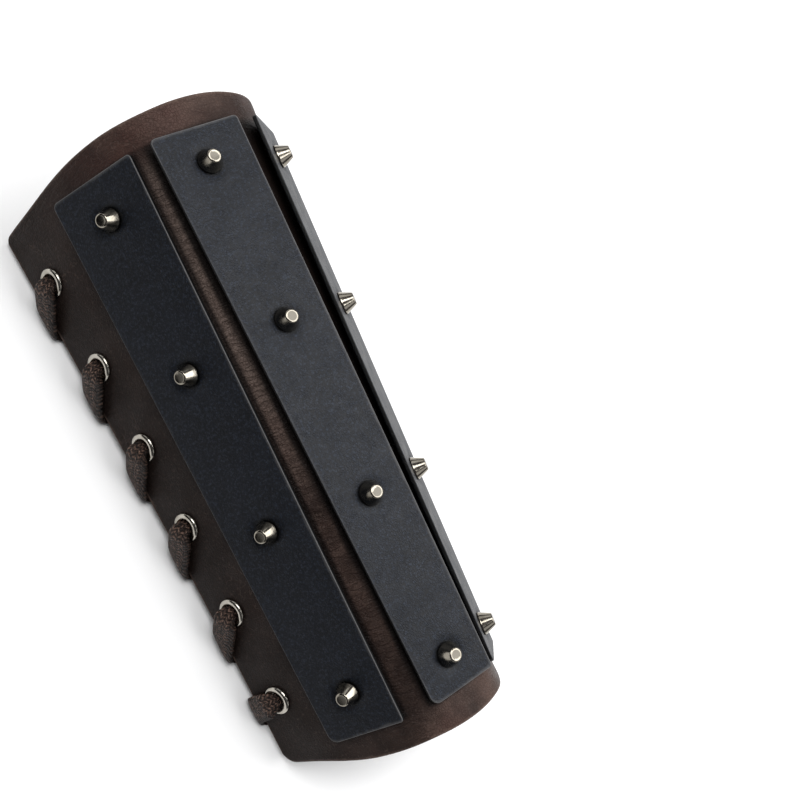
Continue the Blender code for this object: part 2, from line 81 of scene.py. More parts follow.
def addLamps():
    for name, (place, target, width, height, power) in studio["lamps"].items():
        lamp = bpy.data.lights.new(name, "AREA")
        lamp.shape = "RECTANGLE"
        lamp.size, lamp.size_y = width, height
        lamp.energy = power
        holder = bpy.data.objects.new(name, lamp)
        holder.location = place
        aim = Vector(target) - Vector(place)
        holder.rotation_euler = aim.to_track_quat("-Z", "Y").to_euler()
        bpy.context.collection.objects.link(holder)


def addWorld():
    world = bpy.data.worlds.new("studio")
    world.use_nodes = True
    tree = world.node_tree
    light = tree.nodes["Background"]
    light.inputs["Color"].default_value = studio["worldTone"]
    backdrop = tree.nodes.new("ShaderNodeBackground")
    backdrop.inputs["Color"].default_value = studio["backdropTone"]
    seen = tree.nodes.new("ShaderNodeLightPath").outputs["Is Camera Ray"]
    either = tree.nodes.new("ShaderNodeMixShader")
    for socket, source in ((0, seen), (1, light.outputs[0]), (2, backdrop.outputs[0])):
        tree.links.new(source, either.inputs[socket])
    tree.links.new(either.outputs[0], tree.nodes["World Output"].inputs["Surface"])
    bpy.context.scene.world = world


def addSheet(name, corners, tone):
    mesh = bpy.data.meshes.new(name)
    mesh.from_pydata(corners, [], [(0, 1, 2, 3)])
    paper = bpy.data.materials.new(name + "Paper")
    paper.use_nodes = True
    shader = paper.node_tree.nodes["Principled BSDF"]
    shader.inputs["Base Color"].default_value = tone
    shader.inputs["Roughness"].default_value = studio["paperRoughness"]
    mesh.materials.append(paper)
    sheet = bpy.data.objects.new(name, mesh)
    bpy.context.collection.objects.link(sheet)
    return sheet


def addFloorAndCard():
    half, card = studio["floorSize"] / 2, studio["card"]
    addSheet("floor", [(-half, -half, 0), (half, -half, 0), (half, half, 0), (-half, half, 0)],
             studio["floorTone"])
    x, wide, high = card["x"], card["halfWidth"], card["height"]
    hung = addSheet("blackCard", [(x, -wide, 0), (x, wide, 0), (x, wide, high), (x, -wide, high)],
                    card["tone"])
    hung.visible_camera = False


addCamera()
addLamps()
addWorld()
addFloorAndCard()
bpy.context.scene.view_settings.view_transform = "Standard"
print("camera, lamps and floor ready")


# What the trees below are built with.
def addNode(tree, kind, inputs=None, **settings):
    # an input is a value or another node's output
    node = tree.nodes.new(kind)
    for key, value in settings.items():
        setattr(node, key, value)
    for key, value in (inputs or {}).items():
        if isinstance(value, bpy.types.NodeSocket):
            tree.links.new(value, node.inputs[key])
        else:
            node.inputs[key].default_value = value
    return node


def mathOf(tree, operation, first, second=0.0):
    return addNode(tree, "ShaderNodeMath", {0: first, 1: second}, operation=operation).outputs[0]


def times(tree, first, second):
    return mathOf(tree, "MULTIPLY", first, second)


def opposite(tree, mask):
    return mathOf(tree, "SUBTRACT", 1.0, mask)


def vectorOf(tree, operation, first, second):
    return addNode(tree, "ShaderNodeVectorMath", {0: first, 1: second}, operation=operation).outputs[0]


def rangeOf(tree, value, low, high, toLow=0.0, toHigh=1.0):
    return addNode(tree, "ShaderNodeMapRange", {"Value": value, "From Min": low, "From Max": high,
                                                "To Min": toLow, "To Max": toHigh},
                   interpolation_type="SMOOTHSTEP").outputs["Result"]


def mixTone(tree, share, first, second):
    return addNode(tree, "ShaderNodeMix", {0: share, 6: first, 7: second}, data_type="RGBA").outputs[2]


def noiseOf(tree, place, scale, detail=3.0, roughness=0.55):
    return addNode(tree, "ShaderNodeTexNoise", {"Vector": place, "Scale": scale, "Detail": detail,
                                                "Roughness": roughness}).outputs[0]


def driftOf(tree, place, scale, detail):
    # three unlike noises, one for each direction
    return addNode(tree, "ShaderNodeTexNoise", {"Vector": place, "Scale": scale,
                                                "Detail": detail}).outputs["Color"]


def cracksOf(tree, place, perMetre):
    # the distance to the nearest border between cells
    return addNode(tree, "ShaderNodeTexVoronoi", {"Vector": place, "Scale": perMetre},
                   feature="DISTANCE_TO_EDGE").outputs["Distance"]


def patchesOf(tree, place, pattern, toLow=0.0, toHigh=1.0):
    # a pattern is noise per metre, its detail and roughness, and the range that becomes the mask
    scale, detail, roughness, low, high = pattern
    return rangeOf(tree, noiseOf(tree, place, scale, detail, roughness), low, high, toLow, toHigh)


def bumped(tree, height, strength, depth, below=None):
    inputs = {"Height": height, "Strength": strength, "Distance": depth}
    if below is not None:
        inputs["Normal"] = below
    return addNode(tree, "ShaderNodeBump", inputs).outputs[0]


def objectPlace(tree):
    return addNode(tree, "ShaderNodeTexCoord").outputs["Object"]


def attributeOf(tree, name):
    return addNode(tree, "ShaderNodeAttribute", attribute_name=name).outputs["Fac"]


def startGroup(name, inputs, outputs):
    # an input without a value is a place
    group = bpy.data.node_groups.new(name, "ShaderNodeTree")
    for label, value in inputs.items():
        kind = "NodeSocketVector" if value is None else "NodeSocketFloat"
        socket = group.interface.new_socket(label, in_out="INPUT", socket_type=kind)
        if value is not None:
            socket.default_value = value
    for label in outputs:
        group.interface.new_socket(label, in_out="OUTPUT", socket_type="NodeSocketFloat")
    return group, group.nodes.new("NodeGroupInput").outputs, group.nodes.new("NodeGroupOutput").inputs


def useGroup(tree, group, inputs):
    return addNode(tree, "ShaderNodeGroup", inputs, node_tree=group).outputs


def startMaterial(name, metallic=0.0, specular=0.5):
    material = bpy.data.materials.new(name)
    material.use_nodes = True
    shader = material.node_tree.nodes["Principled BSDF"]
    shader.inputs["Metallic"].default_value = metallic
    shader.inputs["Specular IOR Level"].default_value = specular
    return material, material.node_tree, shader.inputs


def layered(tree, finish, tone, masks):
    # each mask dyes the tone with its own colour, one over another
    for name, (colour, share) in finish["layers"].items():
        tone = mixTone(tree, times(tree, masks[name], share), tone, finish[colour])
    return tone


# Effects that several finishes share.
def makeGrainGroup():
    group, given, result = startGroup(
        "leather grain", {"Place": None, "Pebbles per metre": 1000.0, "Groove width": 0.16, "Drift": 0.0006},
        ("Height", "Groove"))
    centred = vectorOf(group, "SUBTRACT", driftOf(group, given["Place"], 420.0, 2.0), (0.5, 0.5, 0.5))
    shift = addNode(group, "ShaderNodeVectorMath", {0: centred, "Scale": given["Drift"]}, operation="SCALE")
    place = vectorOf(group, "ADD", given["Place"], shift.outputs[0])
    cracks = cracksOf(group, place, given["Pebbles per metre"])
    pebble = rangeOf(group, cracks, 0.0, given["Groove width"])
    swell = rangeOf(group, noiseOf(group, given["Place"], 260.0, 2.0), 0.25, 0.75, 0.45, 1.0)
    group.links.new(times(group, pebble, swell), result["Height"])
    group.links.new(opposite(group, pebble), result["Groove"])
    return group


def makeRimWearAndHighlightGroup():
    # the rim's own mask, made ragged by noise: wear with a painted highlight
    group, given, result = startGroup(
        "rim wear and highlight", {"Place": None, "Rim": 0.0, "Reach": 0.8, "Patches per metre": 300.0}, ("Mask",))
    ragged = noiseOf(group, given["Place"], given["Patches per metre"], 4.0, 0.65)
    uneven = addNode(group, "ShaderNodeMath", {0: ragged, 1: 0.5, 2: -0.25}, operation="MULTIPLY_ADD")
    wornAndLit = mathOf(group, "ADD", given["Rim"], uneven.outputs[0])
    group.links.new(rangeOf(group, wornAndLit, given["Reach"], 1.1), result["Mask"])
    return group


def makeTarnishGroup():
    group, given, result = startGroup("tarnish", {"Place": None, "Low": 0.16, "High": 0.34},
                                      ("Roughness", "Stain", "Height"))
    place = given["Place"]
    cloud = patchesOf(group, place, (420.0, 4.0, 0.60, 0.35, 0.68))
    span = mathOf(group, "SUBTRACT", given["High"], given["Low"])
    rough = mathOf(group, "ADD", given["Low"], times(group, span, cloud))
    group.links.new(rough, result["Roughness"])
    group.links.new(patchesOf(group, place, (190.0, 3.0, 0.55, 0.45, 0.72)), result["Stain"])
    group.links.new(noiseOf(group, place, 1500.0), result["Height"])
    return group


grainGroup = makeGrainGroup()
rimWearAndHighlightGroup = makeRimWearAndHighlightGroup()
tarnishGroup = makeTarnishGroup()
print("grain, wear and tarnish ready")


# The finishes. A pattern is noise per metre, its detail and roughness, and the range that shows;
# a layer is the colour that a mask is dyed with, and how strongly.
brownFinish = {
    "deep": (0.024, 0.0150, 0.0125, 1),
    "warm": (0.080, 0.0510, 0.0415, 1),
    "red": (0.058, 0.0265, 0.0215, 1),
    "dark": (0.0090, 0.0062, 0.0054, 1),      # painted shade, lower down the flanks toward the laced edges
    "pale": (0.215, 0.160, 0.136, 1),         # painted light on the bare strip near the elbow end
    # wear on the flecks, creases and rims, with a painted highlight where the rims' cut edges catch the light
    "wornAndLit": (0.150, 0.105, 0.085, 1),
    "shade": (0.0050, 0.0034, 0.0030, 1),     # painted shadow along the panels' edges
    # Of these layers, the grooves and the folds are painted shade in their hollows.
    "layers": {"redder": ("red", 0.75), "paintedShadeLow": ("dark", 0.92), "paintedLightStrip": ("pale", 0.85),
               "flecks": ("wornAndLit", 0.30), "grooves": ("deep", 0.45), "rim": ("wornAndLit", 0.55),
               "creases": ("wornAndLit", 0.25), "folds": ("deep", 0.45), "paintedShadowBesidePanel": ("shade", 1.0)},
    "specular": 0.11,
    "roughness": (0.38, 0.56),
    "grooveRoughness": 0.12,                  # what the grooves add
    "sheenPatches": (75.0, 4.0, 0.60, 0.30, 0.70),
    "warmPatches": (26.0, 4.0, 0.60, 0.40, 0.62),
    "redPatches": (17.0, 3.0, 0.60, 0.50, 0.66),
    "fleckPatches": (900.0, 3.0, 0.70, 0.52, 0.80),
    "grain": {"Pebbles per metre": 950.0, "Groove width": 0.20, "Drift": 0.0009},
    "rimReach": 0.80,
    # long thin creases, few, faint and broken
    "creasesPerMetre": 120.0,
    "creaseWidth": 0.05,
    "creaseBend": (90.0, 4.0, 0.030),         # noise per metre, its detail, how far it bends them
    "creasePatches": (30.0, 2.0, 0.55, 0.48, 0.64),
    "creaseBreaks": (300.0, 2.0, 0.55, 0.40, 0.60),
    # short folds that run across the leather
    "foldsPerMetre": (120.0, 430.0, 120.0),
    "foldWidth": 0.11,
    # strength and depth in metres, each over the one before
    "relief": {"grain": (0.75, 0.00013), "folds": (0.9, -0.00042), "creases": (0.6, -0.00026)},
}
blackFinish = {
    "deep": (0.0012, 0.0024, 0.0058, 1),
    "pale": (0.0034, 0.0054, 0.0108, 1),
    # wear on the rims with a painted highlight, and the painted highlight on the turned edge
    "wornAndLit": (0.110, 0.108, 0.108, 1),
    "fleck": (0.0155, 0.0215, 0.0350, 1),
    "wall": (0.0010, 0.0011, 0.0014, 1),
    # Of these layers, the grooves are painted shade in their hollows.
    "layers": {"flecks": ("fleck", 0.80), "grooves": ("wall", 0.60), "rim": ("wornAndLit", 0.50),
               "turnedEdge": ("wornAndLit", 1.0), "wall": ("wall", 1.0), "paintedStudShadow": ("wall", 1.0)},
    "specular": 0.20,
    "roughness": (0.42, 0.50),
    "sheenPatches": (110.0, 4.0, 0.60, 0.30, 0.70),
    "palePatches": (60.0, 5.0, 0.65, 0.32, 0.70),
    "fleckPatches": (950.0, 3.0, 0.70, 0.47, 0.64),
    "grain": {"Pebbles per metre": 1100.0, "Groove width": 0.22, "Drift": 0.0005},
    "rim": {"Reach": 0.74, "Patches per metre": 130.0},
    # shares of the way from the edge's foot to the face
    "wallTop": (0.15, 0.60),
    "paleLine": (0.45, 0.75, 0.90, 0.995),
    "swellsPerMetre": 140.0,
    "relief": {"grain": (0.6, 0.00010), "swell": (0.30, 0.00010)},
}
studFinish = {
    "tone": (0.27, 0.248, 0.208, 1),
    "stain": (0.14, 0.122, 0.094, 1),
    # painted dark reflection in the middle of the studs' flat tops
    "top": (0.052, 0.048, 0.041, 1),
    "layers": {"stain": ("stain", 0.6), "flatTop": ("top", 1.0)},
    "low": 0.10,
    "high": 0.20,
    "relief": (0.25, 0.00002),
}
eyeletFinish = {
    "tone": (0.41, 0.385, 0.340, 1),
    "stain": (0.22, 0.195, 0.155, 1),
    "layers": {"stain": ("stain", 0.6)},
    "low": 0.12,
    "high": 0.24,
    "relief": (0.25, 0.00002),
}
laceFinish = {
    "deep": (0.0042, 0.0025, 0.0021, 1),
    "thread": (0.340, 0.210, 0.160, 1),
    "specular": 0.20,
    "roughness": (0.62, 0.36),
    "rib": 1.30,                    # mm along the lace
    "lean": 0.75,                   # how steeply the threads climb to the middle
    "columns": 3.0,                 # herringbone columns across the lace
    "width": 10.0,                  # mm
    "strandsPerMm": (1.5, 0.55, 1.0),
    "fibresPerMetre": 1500.0,
    "paintedShadeWristSide": (-4.9, -1.6),      # mm from the lace's middle, painted shade there
    "relief": {"weave": (1.0, 0.00060), "strands": (0.9, 0.00060), "fibres": (0.7, 0.00018)},
}


def creasesOf(tree, place):
    scale, detail, reach = brownFinish["creaseBend"]
    bend = vectorOf(tree, "MULTIPLY", driftOf(tree, place, scale, detail), (reach, reach, reach))
    cracks = cracksOf(tree, vectorOf(tree, "ADD", place, bend), brownFinish["creasesPerMetre"])
    crease = opposite(tree, rangeOf(tree, cracks, 0.0, brownFinish["creaseWidth"]))
    crease = times(tree, crease, patchesOf(tree, place, brownFinish["creasePatches"]))
    return times(tree, crease, patchesOf(tree, place, brownFinish["creaseBreaks"]))


def foldsOf(tree, place):
    ripple = noiseOf(tree, vectorOf(tree, "MULTIPLY", place, brownFinish["foldsPerMetre"]), 1.0, 3.0, 0.60)
    fromFold = mathOf(tree, "ABSOLUTE", mathOf(tree, "SUBTRACT", ripple, 0.5))
    ridge = opposite(tree, rangeOf(tree, fromFold, 0.0, brownFinish["foldWidth"]))
    return times(tree, ridge, attributeOf(tree, "wrinkled"))


def makeBrownLeather():
    finish = brownFinish
    material, tree, shader = startMaterial("brownLeather", specular=finish["specular"])
    place = objectPlace(tree)
    grain = useGroup(tree, grainGroup, {"Place": place, **finish["grain"]})
    rim = useGroup(tree, rimWearAndHighlightGroup, {"Place": place, "Rim": attributeOf(tree, "rimNear"),
                                     "Reach": finish["rimReach"]})
    folds, creases = foldsOf(tree, place), creasesOf(tree, place)
    tone = mixTone(tree, patchesOf(tree, place, finish["warmPatches"]), finish["deep"], finish["warm"])
    tone = layered(tree, finish, tone, {
        "redder": patchesOf(tree, place, finish["redPatches"]), "paintedShadeLow": attributeOf(tree, "paintedShadeLow"),
        "paintedLightStrip": attributeOf(tree, "paintedLightStrip"),
        "flecks": patchesOf(tree, place, finish["fleckPatches"]),
        "grooves": grain["Groove"], "rim": rim["Mask"], "creases": creases, "folds": folds,
        "paintedShadowBesidePanel": attributeOf(tree, "paintedShadowBesidePanel")})
    tree.links.new(tone, shader["Base Color"])
    rough = patchesOf(tree, place, finish["sheenPatches"], *finish["roughness"])
    rough = mathOf(tree, "ADD", rough, times(tree, grain["Groove"], finish["grooveRoughness"]))
    tree.links.new(rough, shader["Roughness"])
    bump = bumped(tree, grain["Height"], *finish["relief"]["grain"])
    bump = bumped(tree, folds, *finish["relief"]["folds"], bump)
    bump = bumped(tree, creases, *finish["relief"]["creases"], bump)
    tree.links.new(bump, shader["Normal"])
    return material


def makeBlackLeather():
    finish = blackFinish
    material, tree, shader = startMaterial("blackLeather", specular=finish["specular"])
    place = objectPlace(tree)
    faceUp, rubbedAndLit = attributeOf(tree, "faceUp"), attributeOf(tree, "rubbedAndLit")
    grain = useGroup(tree, grainGroup, {"Place": place, **finish["grain"]})
    rim = useGroup(tree, rimWearAndHighlightGroup, {"Place": place, "Rim": attributeOf(tree, "rimNear"), **finish["rim"]})
    # a thin pale line where the edge turns, a painted highlight, and black below it
    lineFoot, lineLow, lineHigh, lineTop = finish["paleLine"]
    line = times(tree, rangeOf(tree, faceUp, lineFoot, lineLow),
                 opposite(tree, rangeOf(tree, faceUp, lineHigh, lineTop)))
    tone = mixTone(tree, patchesOf(tree, place, finish["palePatches"]), finish["deep"], finish["pale"])
    tone = layered(tree, finish, tone, {
        "flecks": patchesOf(tree, place, finish["fleckPatches"]), "grooves": grain["Groove"],
        "rim": times(tree, rim["Mask"], rubbedAndLit), "turnedEdge": times(tree, line, rubbedAndLit),
        "wall": opposite(tree, rangeOf(tree, faceUp, *finish["wallTop"])),
        "paintedStudShadow": attributeOf(tree, "paintedStudShadow")})
    tree.links.new(tone, shader["Base Color"])
    rough = patchesOf(tree, place, finish["sheenPatches"], *finish["roughness"])
    tree.links.new(rough, shader["Roughness"])
    bump = bumped(tree, grain["Height"], *finish["relief"]["grain"])
    swell = noiseOf(tree, place, finish["swellsPerMetre"], 2.0)
    tree.links.new(bumped(tree, swell, *finish["relief"]["swell"], bump), shader["Normal"])
    return material


def makeNickel(name, finish):
    material, tree, shader = startMaterial(name, metallic=1.0)
    tarnish = useGroup(tree, tarnishGroup, {"Place": objectPlace(tree), "Low": finish["low"],
                                            "High": finish["high"]})
    masks = {"stain": tarnish["Stain"]}
    if "flatTop" in finish["layers"]:
        masks["flatTop"] = attributeOf(tree, "flatTop")
    tree.links.new(layered(tree, finish, finish["tone"], masks), shader["Base Color"])
    tree.links.new(tarnish["Roughness"], shader["Roughness"])
    tree.links.new(bumped(tree, tarnish["Height"], *finish["relief"]), shader["Normal"])
    return material


def makeWovenLace():
    finish = laceFinish
    material, tree, shader = startMaterial("wovenLace", specular=finish["specular"])
    uv = addNode(tree, "ShaderNodeUVMap", uv_map="along").outputs[0]
    across, along = addNode(tree, "ShaderNodeSeparateXYZ", {0: uv}).outputs[:2]    # mm of the flat lace
    # herringbone: threads climb to the middle of each column from both sides
    columnPlace = times(tree, across, finish["columns"] / finish["width"])
    climb = times(tree, mathOf(tree, "PINGPONG", columnPlace, 0.5), 2 * finish["lean"])
    thread = mathOf(tree, "FRACT", mathOf(tree, "ADD", mathOf(tree, "DIVIDE", along, finish["rib"]), climb))
    hill = mathOf(tree, "SINE", times(tree, thread, math.pi))
    valley = mathOf(tree, "SINE", times(tree, mathOf(tree, "FRACT", columnPlace), math.pi))
    weave = times(tree, hill, rangeOf(tree, valley, 0.0, 0.6, 0.55, 1.0))
    # strands: fine streaks that follow the lace
    strands = noiseOf(tree, vectorOf(tree, "MULTIPLY", uv, finish["strandsPerMm"]), 1.0, 4.0, 0.75)
    fibres = noiseOf(tree, objectPlace(tree), finish["fibresPerMetre"], 3.0, 0.7)
    # painted shade in the weave's hollows and on the wrist side, over the strands' and fibres' own tone
    shadeAndTone = times(tree, mathOf(tree, "POWER", weave, 1.3), rangeOf(tree, strands, 0.42, 0.64, 0.03, 1.0))
    shadeAndTone = times(tree, shadeAndTone, rangeOf(tree, fibres, 0.35, 0.60, 0.35, 1.0))
    shadeAndTone = times(tree, shadeAndTone, rangeOf(tree, across, *finish["paintedShadeWristSide"], 0.30, 1.0))
    tree.links.new(mixTone(tree, shadeAndTone, finish["deep"], finish["thread"]), shader["Base Color"])
    tree.links.new(rangeOf(tree, fibres, 0.3, 0.7, *finish["roughness"]), shader["Roughness"])
    bump = None
    for name, height in (("weave", weave), ("strands", strands), ("fibres", fibres)):
        bump = bumped(tree, height, *finish["relief"][name], bump)
    tree.links.new(bump, shader["Normal"])
    return material


brownLeather = makeBrownLeather()
blackLeather = makeBlackLeather()
studNickel = makeNickel("studNickel", studFinish)
eyeletNickel = makeNickel("eyeletNickel", eyeletFinish)
wovenLace = makeWovenLace()
print("finishes ready")


# The arch of the leather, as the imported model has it.
archForm = {
    "length": 0.2446,
    "leather": 0.0022,
    "halfLeather": {"elbow": 0.1025, "wrist": 0.0832},    # half the flat width
    "setback": {"elbow": 0.0075, "wrist": 0.0086},        # the laced edges stop this far short
    "corner": {"elbow": 0.0035, "wrist": 0.0055},
    "bow": {"elbow": 0.0017, "wrist": 0.0018},            # the rims bow out beside the crown
    "bowPlace": 0.50,                                     # shares of half the width
    "bowReach": 0.36,
    "edgeFlare": 0.0009,
    "edgeWaist": 0.0028,
    # crown radius, crown arc and flank radius, as shares of half the leather's width
    "shares": {"elbow": (0.390, 0.384, 1.740), "wrist": (0.358, 0.338, 1.890)},
    # the lace that the edges rest on
    "wrapInset": 0.0004,
    "laceGap": 0.0006,
    "wrapGapShare": 0.7,
    "laceThickness": 0.0012,
}
bothEnds = ("elbow", "wrist")
halfLength = archForm["length"] / 2
leather = archForm["leather"]
laceRest = archForm["laceThickness"] / 2
wrapRadius = (math.hypot(archForm["wrapInset"], leather / 2) + archForm["laceGap"] * archForm["wrapGapShare"]
              + laceRest)


def archAt(end, share):
    # x, height under the ridge and slope, on the crown's arc and then on the flank's
    half = archForm["halfLeather"][end]
    crownRadius, crownArc, flankRadius = (part * half for part in archForm["shares"][end])
    share = np.asarray(share, float)
    along = np.abs(share) * half
    turn = crownArc / crownRadius
    onFlank = along > crownArc
    slope = np.where(onFlank, turn + (along - crownArc) / flankRadius, along / crownRadius)
    x = np.where(onFlank, crownRadius * math.sin(turn) + flankRadius * (np.sin(slope) - math.sin(turn)),
                 crownRadius * np.sin(slope))
    flankDrop = flankRadius * (math.cos(turn) - np.cos(slope))
    drop = np.where(onFlank, crownRadius * (1 - math.cos(turn)) + flankDrop,
                    crownRadius * (1 - np.cos(slope)))
    side = np.sign(share)
    return side * x, -drop, side * slope


def ridgeHeight(end):
    # the edges rest on the lace that turns round them
    fall, slope = (float(v) for v in archAt(end, 1.0)[1:])
    edge = laceRest + wrapRadius - archForm["wrapInset"] * math.sin(slope) - leather / 2 * math.cos(slope)
    return edge + leather * math.cos(slope) - fall


ridge = {end: ridgeHeight(end) for end in bothEnds}


def betweenEnds(atElbow, atWrist, y):
    wristward = 0.5 - y / archForm["length"]
    return atElbow * (1 - wristward) + atWrist * wristward


def halfAt(y):
    return betweenEnds(archForm["halfLeather"]["elbow"], archForm["halfLeather"]["wrist"], y)


def edgeShare(y):
    waist = archForm["edgeWaist"] * np.maximum(0.0, 1 - (y / halfLength) ** 2)
    return 1 + (archForm["edgeFlare"] - waist) / halfAt(y)


def surfaceAt(share, y, out=0.0):
    # a point on the leather's outer face, or this far out from it
    across, height = [], []
    for end in bothEnds:
        x, z, slope = archAt(end, share)
        across.append(x + out * np.sin(slope))
        height.append(z + out * np.cos(slope) + ridge[end])
    y = np.asarray(y, float)
    return np.stack(np.broadcast_arrays(betweenEnds(*across, y), y, betweenEnds(*height, y)), axis=-1)


def endPlace(end, fraction, out):
    # where the leather ends: the rim leans with its setback, bows out and has round corners
    sign = 1 if end == "elbow" else -1
    corner, half = archForm["corner"][end], archForm["halfLeather"][end]
    fall = float(archAt(end, 1.0)[1])
    y = np.full(np.shape(fraction), sign * halfLength)
    for _ in range(24):
        z = surfaceAt(fraction * edgeShare(y), y, out)[..., 2]
        y = sign * (halfLength - archForm["setback"][end] * (z - ridge[end]) / fall)
    fromEdge = np.minimum((1 - np.abs(fraction)) * half, corner)
    y = y - sign * (corner - np.sqrt(np.maximum(0.0, corner ** 2 - (corner - fromEdge) ** 2)))
    beside = np.minimum(1.0, np.abs(np.abs(fraction) - archForm["bowPlace"]) / archForm["bowReach"])
    return y + sign * archForm["bow"][end] * np.cos(math.pi / 2 * beside) ** 2


# What the meshes below are made with.
rimReach = 0.0038       # how far the rims' wear and painted highlight reach in, on the shell and the panels
tiny = 0.00001


def makePiece(name, points, faces, material):
    mesh = bpy.data.meshes.new(name)
    mesh.from_pydata([tuple(p) for p in points], [], faces)
    mesh.materials.append(material)
    mesh.validate()
    mesh.shade_smooth()
    piece = bpy.data.objects.new(name, mesh)
    bpy.context.collection.objects.link(piece)
    turnOutward(mesh)
    return piece


def turnOutward(mesh):
    corners = np.zeros(len(mesh.vertices) * 3)
    mesh.vertices.foreach_get("co", corners)
    corners = corners.reshape(-1, 3) - corners.reshape(-1, 3).mean(0)
    mesh.calc_loop_triangles()
    triangles = np.zeros(len(mesh.loop_triangles) * 3, int)
    mesh.loop_triangles.foreach_get("vertices", triangles)
    a, b, c = (corners[triangles.reshape(-1, 3)[:, k]] for k in range(3))
    if np.einsum("ij,ij->i", a, np.cross(b, c)).sum() < 0:
        mesh.flip_normals()


def pointValues(piece, name, values):
    layer = piece.data.attributes.new(name, "FLOAT", "POINT")
    layer.data.foreach_set("value", np.asarray(values, float))


def pointsOf(piece):
    return np.array([v.co for v in piece.data.vertices])


def seenFrom(place, points):
    # the points in a place's own x, y and z
    return np.column_stack([points, np.ones(len(points))]) @ np.linalg.inv(np.array(place)).T


def fade(distance, reach):
    # 1 up to no distance, 0 from the reach onward
    return np.clip(1 - distance / reach, 0, 1)


def roundedEdge(thickness, radius, steps=4):
    # (inset, depth) from the outer face round the edge to the inner face
    turn = [math.pi / 2 * k / steps for k in range(steps + 1)]
    outer = [(radius * (1 - math.sin(a)), radius * (1 - math.cos(a))) for a in turn]
    return outer + [(inset, thickness - depth) for inset, depth in reversed(outer)]


def quadsOf(*corners):
    # a face from the same place in each of four arrays
    return np.stack(corners, -1).reshape(-1, 4)


def slabPiece(name, columns, rows, edge, placeAt, material):
    # an outer and an inner grid, joined by strips that follow the edge's profile
    columnGrid, rowGrid = np.meshgrid(columns, rows, indexing="ij")
    outer = placeAt(columnGrid, rowGrid, *edge[0])
    inner = placeAt(columnGrid, rowGrid, *edge[-1])
    wide, tall = len(columns), len(rows)
    index = np.arange(wide * tall).reshape(wide, tall)
    ring = np.concatenate([index[:, 0], index[-1, 1:], index[-2::-1, -1], index[0, -2:0:-1]])
    parts = [outer.reshape(-1, 3), inner.reshape(-1, 3)]
    loops = [ring]
    flatColumns, flatRows = columnGrid.reshape(-1)[ring], rowGrid.reshape(-1)[ring]
    for inset, depth in edge[1:-1]:
        loops.append(2 * wide * tall + (len(loops) - 1) * len(ring) + np.arange(len(ring)))
        parts.append(placeAt(flatColumns, flatRows, inset, depth))
    loops.append(ring + wide * tall)
    quads = quadsOf(index[:-1, :-1], index[1:, :-1], index[1:, 1:], index[:-1, 1:])
    faces = quads.tolist() + (quads[:, ::-1] + wide * tall).tolist()
    for near, far in zip(loops, loops[1:]):
        faces += quadsOf(near, far, np.roll(far, -1), np.roll(near, -1)).tolist()
    piece = makePiece(name, np.concatenate(parts), faces, material)
    borders = (outer[:1], outer[-1:], outer[:, :1], outer[:, -1:])
    gaps = [np.linalg.norm(outer - border, axis=-1) for border in borders]
    near = fade(np.minimum.reduce(np.broadcast_arrays(*gaps)).reshape(-1), rimReach)
    rest = len(piece.data.vertices) - 2 * wide * tall
    pointValues(piece, "rimNear", np.concatenate([near, near * 0, np.ones(rest)]))
    depths = np.repeat([depth for inset, depth in edge[1:-1]], len(ring))
    roundingEnd = edge[len(edge) // 2 - 1][1]
    onFace = fade(depths, roundingEnd + tiny)
    pointValues(piece, "faceUp", np.concatenate([near * 0 + 1, near * 0, onFace]))
    return piece


def noiseAt(points, scale, offset=(0, 0, 0)):
    shift = Vector(offset)
    values = [noise.noise(Vector(p) * scale + shift) for p in points.reshape(-1, 3)]
    return np.array(values).reshape(points.shape[:-1])


def plainCopy(name, piece):
    # the evaluated shape as a plain mesh at the origin
    graph = bpy.context.evaluated_depsgraph_get()
    mesh = bpy.data.meshes.new_from_object(piece.evaluated_get(graph))
    mesh.name = name
    made = bpy.data.objects.new(name, mesh)
    bpy.context.collection.objects.link(made)
    return made


# Leather shell, with the eyelets' holes cut through it.
shellForm = {
    "cell": (0.0015, 0.00159),       # across and along
    "edgeRadius": 0.00055,
    "waveDepth": 0.00030,
    "wavesPerMetre": 26.0,
    "fineWaves": 3.2,                # times as many
    "fineStretch": (1, 2.2, 1),      # and closer along the arm
    "fineShare": 0.35,
    "calm": {"eyelet": (0.007, 0.008), "rim": 0.004},     # no wave starts nearer than this
    # the bare strip between the left and the middle panel
    "stripShare": -0.245,
    "stripHalfWidth": 0.009,
    "stripEnd": (0.094, 0.016),      # it ends here, over this length
    "paleFrom": (0.040, 0.070),
    "paleGain": 2.2,
    "rippleReach": 0.020,            # from the elbow rim
    "wrinkles": {"everywhere": 0.08, "elbow": 0.35, "strip": 0.75, "most": 0.8},
    "darkBelow": (0.022, 0.040, 0.8),     # height, fade and how the fade bends
    "shadeReach": 0.0010,            # painted shadow beside a panel's edge
    "shadeDepth": 0.020,             # only on the leather this near under the panel
    "shadeShare": 0.9,
}
eyeletForm = {
    "places": (0.0, 0.204, 0.397, 0.587, 0.791, 1.0),
    "fromEdge": 0.0128,
    "fromEnd": 0.0250,
    "hole": 0.0062,
    "holeGap": 0.0001,
    "flange": 0.0115,
    "wall": 0.0005,
    "crest": 0.0014,
    "seat": 0.0001,
    "backFlange": 0.0094,
    "backRoll": 0.0006,
    "sides": 56,
}
pairs = len(eyeletForm["places"])


def eyeletY(pair):
    first = halfLength - archForm["setback"]["elbow"] - eyeletForm["fromEnd"]
    last = -halfLength + archForm["setback"]["wrist"] + eyeletForm["fromEnd"]
    return first + (last - first) * eyeletForm["places"][pair]


def flankAt(side, y, up, out):
    # a point this far up the flank from the cut edge, and this far out
    return Vector(surfaceAt(side * (edgeShare(y) - up / halfAt(y)), y, out))


